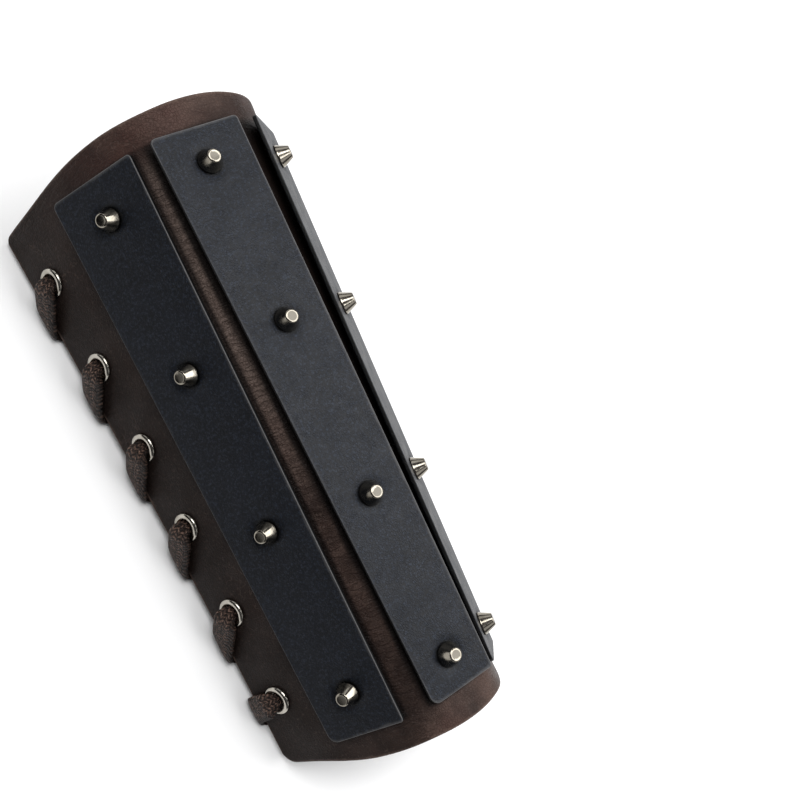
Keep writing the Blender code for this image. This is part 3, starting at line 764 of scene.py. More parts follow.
def flankAxes(side, y, up):
    step = 0.0005
    down = (flankAt(side, y, up - step, 0) - flankAt(side, y, up + step, 0)).normalized()
    along = (flankAt(side, y + step, up, 0) - flankAt(side, y - step, up, 0)).normalized()
    out = (down.cross(along) if side < 0 else along.cross(down)).normalized()
    if out.dot(flankAt(side, y, up, step) - flankAt(side, y, up, 0)) < 0:
        out = -out
    return out, down, along


def frameOf(place, across, along, out):
    rows = [(across[k], along[k], out[k], place[k]) for k in range(3)]
    return Matrix(rows + [(0, 0, 0, 1)])


def eyeletFrames():
    frames, up = [], eyeletForm["fromEdge"]
    for side in (-1, 1):
        for pair in range(pairs):
            y = eyeletY(pair)
            out, _, along = flankAxes(side, y, up)
            frames.append(frameOf(flankAt(side, y, up, 0), along.cross(out), along, out))
    return frames


def evenShares(start, end, cell, length):
    # from start to end in even steps of about one cell
    return np.linspace(start, end, max(2, round(abs(end - start) * length / cell) + 1))


def shellColumns():
    rounding = archForm["corner"]["wrist"] / archForm["halfLeather"]["wrist"]
    middle = evenShares(rounding - 1, 1 - rounding, shellForm["cell"][0], halfAt(0))
    rounded = [1 - rounding * (1 - math.sin(math.radians(a))) for a in (12, 24, 36, 48, 59, 70, 80, 90)]
    return np.concatenate([[-s for s in reversed(rounded)], middle, rounded])


def shellPlace(columns, rows, inset, depth):
    fraction = columns * (1 - inset / archForm["halfLeather"]["wrist"])
    high = endPlace("elbow", fraction, -depth) - inset
    low = endPlace("wrist", fraction, -depth) + inset
    y = high + (low - high) * rows
    share = fraction * edgeShare(y)
    points = surfaceAt(share, y, -depth)
    if depth > 0 or points.ndim < 3:
        return points
    # the outer face dips in soft waves, away from the rims and the eyelets
    wave = 0.5 + 0.5 * noiseAt(points, shellForm["wavesPerMetre"])
    fine = 0.5 + 0.5 * noiseAt(points * shellForm["fineStretch"],
                               shellForm["wavesPerMetre"] * shellForm["fineWaves"], (7, 3, 1))
    calm, reach = shellForm["calm"]["eyelet"]
    away = 1 - fade(np.minimum(high - y, y - low), shellForm["calm"]["rim"])
    fromEyelet = np.full(points.shape[:-1], 1.0)
    for place in eyeletFrames():
        gap = np.linalg.norm(points - np.array(place.translation), axis=-1)
        fromEyelet = np.minimum(fromEyelet, 1 - fade(gap - calm, reach))
    sink = away * fromEyelet * shellForm["waveDepth"] * (wave + shellForm["fineShare"] * fine)
    return surfaceAt(share, y, -sink)


def paintedShadowNearPanels(points):
    # a painted shadow: under a panel and at its edge 1, from the reach onward 0
    beside = np.zeros(len(points))
    half = panelForm["length"] / 2
    for name in panelNames:
        elbowWidth, wristWidth = panelForm[name][2:4]
        x, y, z = seenFrom(panelFrame(name), points).T[:3]
        share = np.clip(0.5 + y / (2 * half), 0, 1)
        width = (wristWidth + (elbowWidth - wristWidth) * share) * half
        near = fade(np.maximum(np.abs(x) - width, np.abs(y) - half), shellForm["shadeReach"])
        beside = np.maximum(beside, np.where(np.abs(z) < shellForm["shadeDepth"], near, 0))
    return beside


def makeShell():
    rows = evenShares(0, 1, shellForm["cell"][1], archForm["length"])
    piece = slabPiece("leather blank", shellColumns(), rows, roundedEdge(leather, shellForm["edgeRadius"]),
                      shellPlace, brownLeather)
    points = pointsOf(piece)
    x, y, z = points.T
    stripX = surfaceAt(np.full(len(points), shellForm["stripShare"]), y)[:, 0]
    stripEnd, stripFade = shellForm["stripEnd"]
    strip = fade(np.abs(x - stripX), shellForm["stripHalfWidth"]) * fade(y - stripEnd, stripFade)
    ripples, wrinkles = fade(halfLength - y, shellForm["rippleReach"]), shellForm["wrinkles"]
    wrinkled = wrinkles["everywhere"] + wrinkles["elbow"] * ripples + wrinkles["strip"] * strip
    pointValues(piece, "wrinkled", np.clip(wrinkled, 0, wrinkles["most"]))
    # painted light: the bare strip is paler toward the elbow end
    paleFrom, paleFade = shellForm["paleFrom"]
    pale = np.clip(strip * shellForm["paleGain"], 0, 1) * fade(paleFrom - y, paleFade)
    pointValues(piece, "paintedLightStrip", pale)
    # painted shade: the leather is darker the lower it lies on the flanks
    darkest, darkFade, bend = shellForm["darkBelow"]
    pointValues(piece, "paintedShadeLow", fade(z - darkest, darkFade) ** bend)
    # painted shadow beside and under the panels
    pointValues(piece, "paintedShadowBesidePanel", paintedShadowNearPanels(points) * shellForm["shadeShare"])
    return piece


def drumMesh(frames, radius, low, high, sides=48):
    # closed round drums, one in each frame
    points, faces = [], []
    for place in frames:
        start = len(points)
        for z in (low, high):
            for k in range(sides):
                a = 2 * math.pi * k / sides
                points.append(place @ Vector((radius * math.cos(a), radius * math.sin(a), z)))
        for k in range(sides):
            j = (k + 1) % sides
            faces.append((start + k, start + j, start + sides + j, start + sides + k))
        faces.append(tuple(start + k for k in reversed(range(sides))))
        faces.append(tuple(start + sides + k for k in range(sides)))
    return points, faces


def cutEyeletHoles(piece):
    radius = eyeletForm["hole"] / 2 + eyeletForm["wall"] + eyeletForm["holeGap"]
    drums = makePiece("eyelet drums", *drumMesh(eyeletFrames(), radius, -2 * leather, leather),
                      brownLeather)
    step = piece.modifiers.new("eyelet holes", "BOOLEAN")
    step.operation, step.solver, step.object = "DIFFERENCE", "EXACT", drums
    cut = plainCopy("leatherShell", piece)
    for spent in (piece, drums):
        bpy.data.objects.remove(spent)
    cut.data.shade_smooth()
    return cut


# Panels, flat strips with a shallow dimple round each stud, and the sizes of the studs.
panelForm = {
    "length": 0.2210,
    "thickness": 0.0017,
    "edgeRadius": 0.00042,
    "gap": 0.00045,
    "cell": 0.00072,
    "corner": {("elbow", -1): 0.0022, ("elbow", 1): 0.0016, ("wrist", -1): 0.0034, ("wrist", 1): 0.0012},
    "dimple": 0.00090,
    "dimpleReach": 0.0058,
    "paintedStudShadow": (0.0047, 0.0057),     # painted shadow, a dark ring round each stud's foot
    "sway": 0.00010,
    "swaysPerMetre": 30.0,
    # wear everywhere and at the ends, and a painted highlight on the right side, which faces the lamp
    "rubbedAndLit": {"everywhere": 0.25, "paintedLightRightSide": 0.65, "ends": 0.45, "endReach": 0.012},
    # line at the elbow and wrist (shares of half the leather), widths there (shares of the length),
    # studs (shares of the half length)
    "left": (-0.457, -0.459, 0.1765, 0.1457, (0.858, 0.303, -0.266, -0.854)),
    "middle": (-0.053, 0.009, 0.1600, 0.1270, (0.880, 0.322, -0.299, -0.884)),
    "right": (0.330, 0.361, 0.1560, 0.1260, (0.874, 0.323, -0.302, -0.892)),
}
panelNames = ("left", "middle", "right")
studForm = {
    "base": 0.0090,
    "top": 0.0047,
    "height": 0.0047,
    "chamfer": 0.00042,
    "post": 0.0030,
    "cap": 0.0070,
    "capThickness": 0.0009,
    "seatGap": 0.0003,
    "capGap": 0.0009,
    "sides": 64,
    "lean": 0.014,        # radians at most, each stud its own way
    "darkTopReach": 0.36,    # share of the top's width that the painted dark reflection covers
    "darkTopShare": 0.85,
}


def ridgePoint(share, end):
    x, z, slope = (float(v) for v in archAt(end, share))
    return Vector((x, halfLength if end == "elbow" else -halfLength, z + ridge[end])), slope


def panelFrame(name):
    elbowLine, wristLine = panelForm[name][:2]
    elbow, elbowSlope = ridgePoint(elbowLine, "elbow")
    wrist, wristSlope = ridgePoint(wristLine, "wrist")
    along = (elbow - wrist).normalized()
    slope = (elbowSlope + wristSlope) / 2
    out = Vector((math.sin(slope), 0, math.cos(slope)))
    out = (out - along * out.dot(along)).normalized()
    return frameOf((elbow + wrist) / 2 + out * panelForm["gap"], along.cross(out), along, out)


def makePanel(name):
    elbowWidth, wristWidth, studs = panelForm[name][2:]
    half, thickness, corner = panelForm["length"] / 2, panelForm["thickness"], panelForm["corner"]
    matrix = np.array(panelFrame(name))
    halfWidth = {"elbow": elbowWidth * half, "wrist": wristWidth * half}

    def placeAt(columns, rows, inset, depth):
        reach = {}
        for end in bothEnds:
            radius = np.where(columns < 0, corner[end, -1], corner[end, 1]) - inset
            short = np.minimum((halfWidth[end] - inset) * (1 - np.abs(columns)), radius)
            rounding = radius - np.sqrt(np.maximum(0, radius ** 2 - (radius - short) ** 2))
            reach[end] = half - inset - rounding
        y = -reach["wrist"] + (reach["wrist"] + reach["elbow"]) * rows
        elbowShare = 0.5 + y / (2 * half)
        width = halfWidth["wrist"] + (halfWidth["elbow"] - halfWidth["wrist"]) * elbowShare - inset
        x = columns * width
        z = np.full(np.shape(x), thickness - depth)
        if depth == 0 and np.ndim(x) == 2:
            for share in studs:
                gap = np.hypot(x, y - share * half) / panelForm["dimpleReach"]
                z = z - panelForm["dimple"] * np.exp(-gap ** 4)
            sway = noiseAt(np.stack([x, y, z], -1) + matrix[:3, 3], panelForm["swaysPerMetre"])
            z = z - panelForm["sway"] * (0.5 + 0.5 * sway)
        local = np.stack(np.broadcast_arrays(x, y, z, np.ones(np.shape(x))), -1)
        return (local @ matrix.T)[..., :3]

    rounding = max(corner.values()) / min(halfWidth.values())
    middle = evenShares(rounding - 1, 1 - rounding, panelForm["cell"], max(halfWidth.values()))
    rounded = [1 - rounding * (1 - math.sin(math.radians(a))) for a in (15, 30, 45, 58, 70, 80, 90)]
    columns = np.concatenate([[-s for s in reversed(rounded)], middle, rounded])
    rows = evenShares(0, 1, panelForm["cell"], panelForm["length"])
    piece = slabPiece(name + "Panel", columns, rows, roundedEdge(thickness, panelForm["edgeRadius"]),
                      placeAt, blackLeather)
    x, y, z = seenFrom(matrix, pointsOf(piece)).T[:3]
    near, far = panelForm["paintedStudShadow"]
    fromStud = np.minimum.reduce([np.sqrt(x ** 2 + (y - share * half) ** 2 + (z - thickness) ** 2)
                                  for share in studs])
    pointValues(piece, "paintedStudShadow", fade(fromStud - near, far - near))
    rubbedAndLit = panelForm["rubbedAndLit"]
    atEnds = fade(half - np.abs(y), rubbedAndLit["endReach"])
    pointValues(piece, "rubbedAndLit", np.clip(
        rubbedAndLit["everywhere"] + rubbedAndLit["paintedLightRightSide"] * (x > 0) + rubbedAndLit["ends"] * atEnds, 0, 1))
    return piece


shell = cutEyeletHoles(makeShell())
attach(shell, "root")
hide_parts("leather_shell")
print("shell:", len(shell.data.polygons), "faces")

for panelName in panelNames:
    panel = makePanel(panelName)
    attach(panel, "root")
    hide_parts("panel_" + panelName)
    print("panel:", panelName, len(panel.data.polygons), "faces")


# Studs and eyelets, turned from their profiles and set in their places by Geometry Nodes.
def makeTurnedTree():
    tree = bpy.data.node_groups.new("turned pieces in place", "GeometryNodeTree")
    for label, kind in (("Places", "Geometry"), ("Profile", "Object"), ("Spindle", "Float"),
                        ("Sides", "Int"), ("Lean", "Float"), ("Seed", "Int"), ("Finish", "Material")):
        tree.interface.new_socket(label, in_out="INPUT", socket_type="NodeSocket" + kind)
    tree.interface.new_socket("Pieces", in_out="OUTPUT", socket_type="NodeSocketGeometry")
    given = tree.nodes.new("NodeGroupInput").outputs
    result = tree.nodes.new("NodeGroupOutput").inputs
    # one piece, turned round the spindle
    outline = addNode(tree, "GeometryNodeObjectInfo", {"Object": given["Profile"]})
    curve = addNode(tree, "GeometryNodeMeshToCurve", {"Mesh": outline.outputs["Geometry"]})
    circle = addNode(tree, "GeometryNodeCurvePrimitiveCircle", {"Resolution": given["Sides"],
                                                                "Radius": given["Spindle"]})
    turned = addNode(tree, "GeometryNodeCurveToMesh", {"Curve": circle.outputs["Curve"],
                                                       "Profile Curve": curve.outputs["Curve"]})
    closed = addNode(tree, "GeometryNodeMergeByDistance", {"Geometry": turned.outputs["Mesh"],
                                                           "Distance": 0.000002})
    smooth = addNode(tree, "GeometryNodeSetShadeSmooth", {"Geometry": closed.outputs["Geometry"]})
    # each leans a little, its own way
    facing = addNode(tree, "GeometryNodeInputNamedAttribute", {"Name": "facing"}, data_type="FLOAT_VECTOR")
    upright = addNode(tree, "FunctionNodeEulerToRotation", {0: facing.outputs["Attribute"]})
    chance = addNode(tree, "FunctionNodeRandomValue", {
        "Min": (-1, -1, 0), "Max": (1, 1, 1), "Seed": given["Seed"]}, data_type="FLOAT_VECTOR")
    scaled = addNode(tree, "ShaderNodeVectorMath", {0: chance.outputs[0], "Scale": given["Lean"]},
                     operation="SCALE")
    lean = addNode(tree, "FunctionNodeEulerToRotation", {0: scaled.outputs[0]})
    leaned = addNode(tree, "FunctionNodeRotateRotation", {
        "Rotation": upright.outputs[0], "Rotate By": lean.outputs[0]}, rotation_space="LOCAL")
    placed = addNode(tree, "GeometryNodeInstanceOnPoints", {
        "Points": given["Places"], "Instance": smooth.outputs["Geometry"], "Rotation": leaned.outputs[0]})
    real = addNode(tree, "GeometryNodeRealizeInstances", {"Geometry": placed.outputs["Instances"]})
    finish = addNode(tree, "GeometryNodeSetMaterial", {"Geometry": real.outputs["Geometry"],
                                                       "Material": given["Finish"]})
    tree.links.new(finish.outputs["Geometry"], result["Pieces"])
    return tree


turnedTree = makeTurnedTree()
spindle = 0.001
seed = 4


def turnedPieces(name, profile, closedProfile, frames, sides, lean, material):
    outline = bpy.data.meshes.new(name + " profile")
    count = len(profile)
    edges = [(k, (k + 1) % count) for k in range(count if closedProfile else count - 1)]
    outline.from_pydata([(r - spindle, -z, 0) for r, z in profile], edges, [])
    outlineHolder = bpy.data.objects.new(name + " profile", outline)
    places = bpy.data.meshes.new(name + " places")
    places.from_pydata([tuple(place.translation) for place in frames], [], [])
    layer = places.attributes.new("facing", "FLOAT_VECTOR", "POINT")
    layer.data.foreach_set("vector", [a for place in frames for a in place.to_euler()])
    host = bpy.data.objects.new(name + " places", places)
    for item in (outlineHolder, host):
        bpy.context.collection.objects.link(item)
    step = host.modifiers.new("turned", "NODES")
    step.node_group = turnedTree
    sockets = {item.name: item.identifier for item in turnedTree.interface.items_tree
               if item.in_out == "INPUT"}
    for label, value in (("Profile", outlineHolder), ("Spindle", spindle), ("Sides", sides),
                         ("Lean", lean), ("Seed", seed), ("Finish", material)):
        step[sockets[label]] = value
    made = plainCopy(name, host)
    for spent in (host, outlineHolder):
        bpy.data.objects.remove(spent)
    turnOutward(made.data)
    return made


def roundedCorner(centre, radius, start, end, steps):
    # points of an arc from start to end, in degrees
    angles = [math.radians(start + (end - start) * k / steps) for k in range(steps + 1)]
    return [(centre[0] + radius * math.cos(a), centre[1] + radius * math.sin(a)) for a in angles]


def studProfile():
    # from the middle of the top, down the cone and the post, to the middle of the back cap
    base, top, height = studForm["base"] / 2, studForm["top"] / 2, studForm["height"]
    chamfer, post, cap = studForm["chamfer"], studForm["post"] / 2, studForm["cap"] / 2
    through = (studForm["seatGap"] + panelForm["thickness"] + panelForm["gap"] + leather
               + studForm["capGap"])
    foot = -studForm["seatGap"] - panelForm["dimple"] * 0.9
    support = 0.00006                              # keeps a smooth face flat beside an edge
    lean = math.atan2(base - top, height)          # of the cone's wall
    points = [(0.0, height - 0.00005), (top * 0.5, height - 0.00003), (top * 0.70, height - 0.00002),
              (top - chamfer * 0.75 - support, height)]
    for outward, drop in ((-0.75, 0.0), (-0.30, 0.14), (0.15, 0.42), (0.45, 0.74), (0.55, 1.0)):
        points.append((top + chamfer * outward, height - chamfer * drop))
    wallTop, wallFoot = points[-1], (base, 0.0)
    points.append((wallTop[0] + support * math.sin(lean), wallTop[1] - support))
    for share in (0.25, 0.5, 0.75, 0.94):
        points.append((wallTop[0] + (wallFoot[0] - wallTop[0]) * share,
                       wallTop[1] + (wallFoot[1] - wallTop[1]) * share))
    points += [(base + 0.00006, -0.0001), (base + 0.00004, -0.00025), (base - 0.00005, foot + 0.00005),
               (base - 0.0002, foot), (base - 0.0006, foot), (post + 0.0002, foot), (post, foot - 0.0002),
               (post, -through + 0.0002), (post + 0.0002, -through)]
    edge, back = studForm["capThickness"] / 2, -through - studForm["capThickness"]
    points.append((cap - 0.0003, -through))
    points += roundedCorner((cap - edge, -through - edge), edge, 90, -90, 6)
    return points + [(cap - 0.0006, back), (cap * 0.4, back - 0.00012), (0.0, back - 0.00014)]


def studFrames():
    frames = []
    for name in panelNames:
        place = panelFrame(name)
        for share in panelForm[name][4]:
            seat = panelForm["thickness"] + studForm["seatGap"]
            frames.append(place @ Matrix.Translation((0, share * panelForm["length"] / 2, seat)))
    return frames


def markFlatTops(piece):
    # painted dark reflection: the middle of each flat top is darker than its polished rim
    points = pointsOf(piece)
    darkTop = np.zeros(len(points))
    for place in studFrames():
        x, y, z = seenFrom(place, points).T[:3]
        nearMiddle = np.hypot(x, y) < studForm["top"] * studForm["darkTopReach"]
        darkTop = np.maximum(darkTop, nearMiddle & (z > studForm["height"] - 0.0002))
    pointValues(piece, "flatTop", darkTop * studForm["darkTopShare"])


studs = turnedPieces("studs", studProfile(), False, studFrames(), studForm["sides"], studForm["lean"],
                     studNickel)
markFlatTops(studs)
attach(studs, "root")
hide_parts(*["stud_%s_%d" % (name, k + 1) for name in panelNames for k in range(4)])
print("studs:", len(studs.data.polygons), "faces")


def eyeletProfile():
    hole, flange, seat = eyeletForm["hole"] / 2, eyeletForm["flange"] / 2, eyeletForm["seat"]
    barrel, back = hole + eyeletForm["wall"], eyeletForm["backFlange"] / 2
    middle, reach, crest = (hole + flange) / 2, (flange - hole) / 2, eyeletForm["crest"]
    dome, steps = [], 18
    for k in range(steps + 1):                      # from the hole's lip over the crest to the rim
        a = math.pi * (1 - k / steps)
        dome.append((middle + reach * math.cos(a), seat + crest * math.sin(a) ** 0.75))
    under, low, roll = -leather - 0.0002, seat - 0.00008, eyeletForm["backRoll"]
    return dome + [
        (flange - 0.00012, low), (flange - 0.0005, low), (barrel + 0.0002, low), (barrel, seat - 0.0002),
        (barrel, under + 0.0002), (barrel + 0.0002, under), (back - 0.0004, under),
        (back, under - roll * 0.25), (back - 0.0001, under - roll * 0.7), (back - 0.0005, under - roll),
        (hole + 0.0007, under - roll), (hole + 0.0002, under - roll * 0.8), (hole, under - roll * 0.3),
        (hole, under + 0.0004)]


eyelets = turnedPieces("eyelets", eyeletProfile(), True, eyeletFrames(), eyeletForm["sides"], 0.0,
                       eyeletNickel)
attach(eyelets, "root")
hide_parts(*["eyelet_%s_%d" % (word, k + 1) for word in ("left", "right") for k in range(6)])
print("eyelets:", len(eyelets.data.polygons), "faces")


# Lace. Its route is a list of stations: a point, the direction of its width, and (width, thickness).
laceForm = {
    "flat": (0.0100, 0.0012),
    "gathered": (0.0054, 0.0027),
    "fanned": (0.0106, 0.0030),
    "resting": (0.0108, 0.0027),
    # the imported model's plainer lace and eyelets, whose route this one keeps
    "plainGathered": 0.0020,
    "plainCrest": 0.0007,
    "seatGap": 0.0003,
    "slant": 0.0112,
    "lastSlant": 0.0010,
    "turnDrift": 0.0024,
    "settle": 0.0034,
    "rise": (0.0120, 0.0055),
    "insideAngle": 58,
    # degrees round the lip, shares turned and fanned, and lift
    "lip": ((90, 0.0, 0.0, 0.0), (120, 0.25, 0.12, 0.0), (150, 0.70, 0.55, 0.0003), (180, 1.0, 0.95, 0.0007)),
    "knotDrift": 0.0070,
    "knot": (0.0180, 0.0150, 0.0072),
    "knotStrand": (0.0044, 0.0028),
    "knotInset": 0.0022,
    "tailLength": 0.0240,
    "tailApart": 0.0030,
    "tailRun": (0.55, 0.80),          # sideways and toward the wrist
    "step": 0.0010,
    "around": 30,
    "section": (0.75, 0.60),          # powers that square off the ribbon's round section
    "pleats": (7.5, 0.30),            # how many and how deep, where it is gathered
    "leastFacing": 0.35,
}
armAxis = Vector((0, 1, 0))
lipDistance = eyeletForm["hole"] / 2 + eyeletForm["wall"] / 2
turnRadius = (laceForm["seatGap"] + laceForm["plainCrest"] + leather / 2 + archForm["laceGap"]
              + laceForm["plainGathered"] / 2)


def sizeBetween(near, far, share):
    return tuple(a + (b - a) * share for a, b in zip(near, far))


def strandStation(side, pair, away, slant, out, size):
    y = eyeletY(pair) - away * math.sin(slant)
    up = eyeletForm["fromEdge"] - away * math.cos(slant)
    down, along = flankAxes(side, y, up)[1:]
    return flankAt(side, y, up, out), along * math.cos(slant) + down * math.sin(slant), size


def throughEyelet(side, pair, drift):
    slant = math.atan2(drift, eyeletForm["fromEdge"])
    stations = []
    for degrees, turned, fan, lift in ((laceForm["insideAngle"], 0.0, 0.0, 0.0), *laceForm["lip"]):
        angle = math.radians(degrees)
        away = lipDistance - turnRadius * math.sin(angle)
        out = -leather / 2 - turnRadius * math.cos(angle) + lift
        size = sizeBetween(laceForm["gathered"], laceForm["fanned"], fan)
        stations.append(strandStation(side, pair, away, slant * turned, out, size))
    return stations


def overTheFace(side, pair, drift):
    slant = math.atan2(drift, eyeletForm["fromEdge"])
    size = laceForm["resting"]
    rest = 0.0002 + size[1] / 2
    landing = lipDistance + laceForm["settle"]
    reach = (eyeletForm["fromEdge"] - archForm["wrapInset"]) / math.cos(slant)
    stations = [strandStation(side, pair, landing, slant, rest + 0.0013, laceForm["fanned"])]
    for share, lift in ((0.35, 0.0011), (0.75, 0.0007)):
        point, across, _ = strandStation(side, pair, landing + (reach - landing) * share, slant,
                                         rest + lift, size)
        along = flankAxes(side, point.y, eyeletForm["fromEdge"] / 2)[2]
        stations.append((point, across.lerp(along, share), size))
    return stations


def roundTheEdge(side, pair, drift):
    stations = []
    start = eyeletY(pair) - drift
    turnDrift = math.copysign(laceForm["turnDrift"], drift)
    out = flankAxes(side, start, archForm["wrapInset"])[0]
    level = 90 + math.degrees(math.asin(max(-1.0, min(1.0, out.z))))
    flatFrom = 0.72
    for share in (0.12, 0.42, flatFrom, 1.0):
        y = start - turnDrift * share
        out, down, along = flankAxes(side, y, archForm["wrapInset"])
        centre = flankAt(side, y, archForm["wrapInset"], -leather / 2)
        angle = math.radians(level * share)
        size = sizeBetween(laceForm["resting"], laceForm["flat"], min(1.0, share / flatFrom))
        reach = wrapRadius + (size[1] - laceForm["flat"][1]) / 2
        point = centre + (out * math.cos(angle) + down * math.sin(angle)) * reach
        point.z = max(point.z, laceRest)
        stations.append((point, along.lerp(armAxis, share ** 2), size))
    return stations


def layerHeight(layer):
    return laceRest + layer * (archForm["laceThickness"] + archForm["laceGap"])


def acrossTheGap(side, pair, raised):
    # one strand crosses over the other; the last two also pass over those that run to the knot
    start = roundTheEdge(side, pair, laceForm["slant"])[-1][0]
    ending = eyeletY(pair + 1)
    overLast = 1 if pair == pairs - 2 else 0
    own = 1 if raised else 0
    stations = []
    for share, layer in ((0.11, 0), (0.23, own + overLast), (0.50, own + overLast),
                         (0.77, own + overLast), (0.85, 0.5 + overLast)):
        x = start.x * (1 - 2 * share)
        y = start.y + (ending - start.y) * share
        stations.append((Vector((x, y, layerHeight(layer))), armAxis, laceForm["flat"]))
    return stations


def upToEyelet(side, pair):
    angle = math.radians(laceForm["insideAngle"])
    stations = []
    for back in laceForm["rise"]:
        away = lipDistance - turnRadius * math.sin(angle) + back * math.cos(angle)
        out = -leather / 2 - turnRadius * math.cos(angle) - back * math.sin(angle)
        stations.append(strandStation(side, pair, away, 0.0, out, laceForm["flat"]))
    return stations


def overAndRound(side, pair, drift):
    return [station for part in (throughEyelet, overTheFace, roundTheEdge)
            for station in part(side, pair, drift)]


def halfLace(side):
    # from the middle of the inside bar at the elbow end to the knot
    halfGap = abs(flankAt(side, eyeletY(0), 0, -leather).x)
    stations = []
    for share, layer in ((0.0, 0), (0.38, 0), (0.62, 0.4)):
        point = Vector((side * halfGap * share, eyeletY(0), layerHeight(layer)))
        stations.append((point, armAxis, laceForm["flat"]))
    now = side
    stations += upToEyelet(now, 0)
    for pair in range(pairs - 1):
        stations += overAndRound(now, pair, laceForm["slant"])
        stations += acrossTheGap(now, pair, (pair % 2 == 0) == (side > 0))
        now = -now
        stations += upToEyelet(now, pair + 1)
    stations += overAndRound(now, pairs - 1, laceForm["lastSlant"])
    edge = stations[-1][0]
    for share, lift in ((0.80, 0.0), (0.50, 0.0), (0.22, 0.35), (0.05, 0.9)):
        z = laceRest + (laceForm["knot"][2] / 2 - laceRest) * lift
        y = edge.y - laceForm["knotDrift"] * min(1.0, (0.85 - share) / 0.5)
        stations.append((Vector((edge.x * share, y, z)), armAxis, laceForm["flat"]))
    return stations


def hermiteSlope(before, here, after):
    back, ahead = (here - before).length, (after - here).length
    if back == 0 or ahead == 0:
        return (after - before).normalized()
    return ((here - before) / back * ahead + (after - here) / ahead * back) / (back + ahead)


def smoothRoute(stations, spacing):
    # an even run of (point, across, size) on one smooth curve through the stations
    route = []
    for i in range(len(stations) - 1):
        before, after = stations[max(i - 1, 0)], stations[min(i + 2, len(stations) - 1)]
        first, second = stations[i], stations[i + 1]
        span = (second[0] - first[0]).length
        leave = hermiteSlope(before[0], first[0], second[0]) * span
        arrive = hermiteSlope(first[0], second[0], after[0]) * span
        steps = max(2, round(span / spacing))
        for step in range(steps):
            t = step / steps
            point = first[0].lerp(second[0], 3 * t ** 2 - 2 * t ** 3)
            point += leave * (t ** 3 - 2 * t ** 2 + t) + arrive * (t ** 3 - t ** 2)
            ease = 3 * t ** 2 - 2 * t ** 3
            size = sizeBetween(first[2], second[2], ease)
            point.z = max(point.z, size[1] / 2)
            route.append((point, first[1].lerp(second[1], t).normalized(), size))
    route.append(stations[-1])
    return route


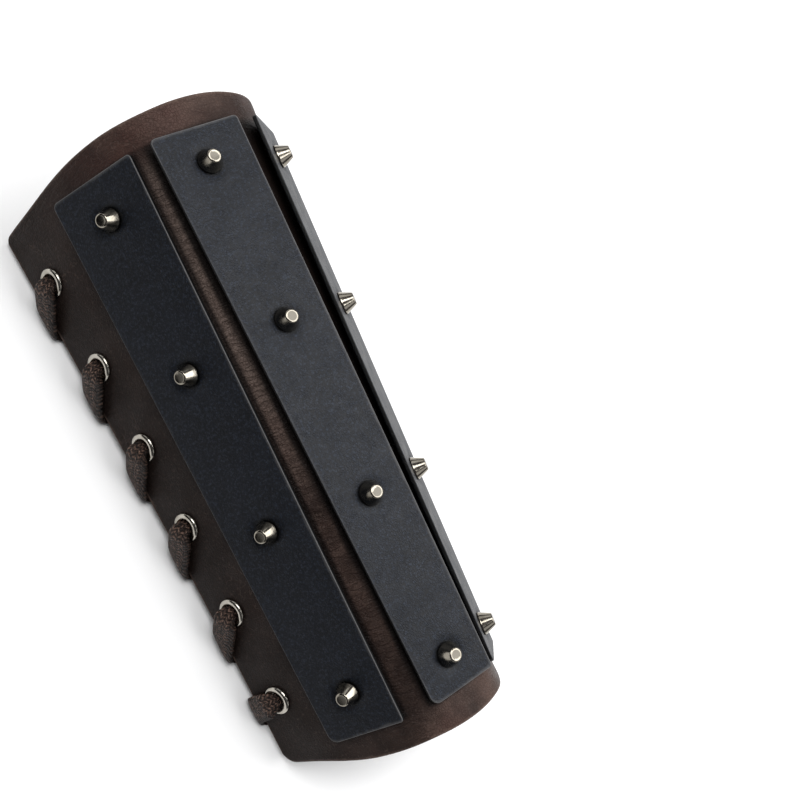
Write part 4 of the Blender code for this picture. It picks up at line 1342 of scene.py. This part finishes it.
def ribbonPiece(name, route, looped=False):
    # a soft flat ribbon with pleats where it is gathered; its UV map is in mm of the flat lace
    around, count = laceForm["around"], len(route)
    angles = 2 * np.pi * np.arange(around) / around
    wide, high = (np.sign(turn) * np.abs(turn) ** power
                  for turn, power in zip((np.cos(angles), np.sin(angles)), laceForm["section"]))
    pleatCount, pleatDepth = laceForm["pleats"]
    flatWidth, gatheredWidth = laceForm["flat"][0], laceForm["gathered"][0]
    points, uvAlong, gone = [], [], 0.0
    for i, (point, across, size) in enumerate(route):
        if looped:
            before, after = route[i - 1][0], route[(i + 1) % count][0]
        else:
            before, after = route[max(i - 1, 0)][0], route[min(i + 1, count - 1)][0]
        gone += (point - route[i - 1][0]).length if i else 0.0
        ahead = (after - before).normalized()
        face = ahead.cross(across)
        facing = max(face.length, laceForm["leastFacing"])
        face.normalize()
        tight = 1 - min(1.0, (size[0] - gatheredWidth) / (flatWidth - gatheredWidth))
        pleats = 1 - pleatDepth * tight * (0.5 - 0.5 * np.cos(wide * pleatCount))
        sideways = np.array(across) * (size[0] / 2 / facing)
        upward = np.array(face) * (size[1] / 2)
        points.append(np.array(point) + np.outer(wide, sideways) + np.outer(high * pleats, upward))
        uvAlong.append(gone)
    index = np.arange(count * around).reshape(count, around)
    nextRing = np.roll(index, -1, 0) if looped else index[1:]
    thisRing = index if looped else index[:-1]
    faces = quadsOf(thisRing, np.roll(thisRing, -1, 1), np.roll(nextRing, -1, 1), nextRing).tolist()
    if not looped:
        faces += [index[0][::-1].tolist(), index[-1].tolist()]
    piece = makePiece(name, np.concatenate(points), faces, wovenLace)
    place = np.stack(np.broadcast_arrays(wide[None, :] * flatWidth / 2 / mm,
                                         np.array(uvAlong)[:, None] / mm), -1).reshape(-1, 2)
    uv = piece.data.uv_layers.new(name="along")
    corners = np.zeros(len(piece.data.loops), int)
    piece.data.loops.foreach_get("vertex_index", corners)
    uv.data.foreach_set("uv", place[corners].reshape(-1))
    return piece


def knotRoute(centre, size, steps=150):
    # a trefoil knot, pulled tight and flattened to the size
    up, inset = Vector((0, 0, 1)), laceForm["knotInset"]
    strand = laceForm["knotStrand"]
    route = []
    for k in range(steps):
        t = 2 * math.pi * k / steps
        x, y = math.sin(t) + 2 * math.sin(2 * t), math.cos(t) - 2 * math.cos(2 * t)
        radial = Vector((x, y, 0)).normalized()
        point = Vector((x / 3 * (size[0] / 2 - inset), y / 3 * (size[1] / 2 - inset),
                        -math.sin(3 * t) * (size[2] / 2 - strand[1] / 2 - 0.0001)))
        route.append((centre + point, radial.cross(up).cross(up), strand))
    return route


def tailStations(side, knotY):
    sideways, wristward = laceForm["tailRun"]
    across = Vector((wristward, side * sideways, 0)).normalized()
    stations = []
    for share, z in ((0.0, laceForm["knot"][2] * 0.5), (0.35, laceForm["knot"][2] * 0.22),
                     (0.6, laceRest), (1.0, laceRest)):
        reach = laceForm["tailLength"] * share
        point = Vector((side * (laceForm["tailApart"] + reach * sideways), knotY - reach * wristward,
                        max(z, laceRest)))
        stations.append((point, across, laceForm["flat"]))
    return stations


def joined(name, pieces):
    with bpy.context.temp_override(active_object=pieces[0], selected_editable_objects=pieces):
        bpy.ops.object.join()
    pieces[0].name = name
    return pieces[0]


def makeLace():
    right = halfLace(1)
    stations = list(reversed(halfLace(-1))) + right[1:]
    knotY = right[-1][0].y
    knot = knotRoute(Vector((0, knotY, laceForm["knot"][2] / 2)), laceForm["knot"])
    pieces = [ribbonPiece("lace", smoothRoute(stations, laceForm["step"])),
              ribbonPiece("knot", knot, looped=True)]
    for side in (-1, 1):
        pieces.append(ribbonPiece("tail", smoothRoute(tailStations(side, knotY), laceForm["step"])))
    return joined("wovenLace", pieces)


laceRun = makeLace()
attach(laceRun, "root")
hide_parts("lace")
print("lace:", len(laceRun.data.polygons), "faces")
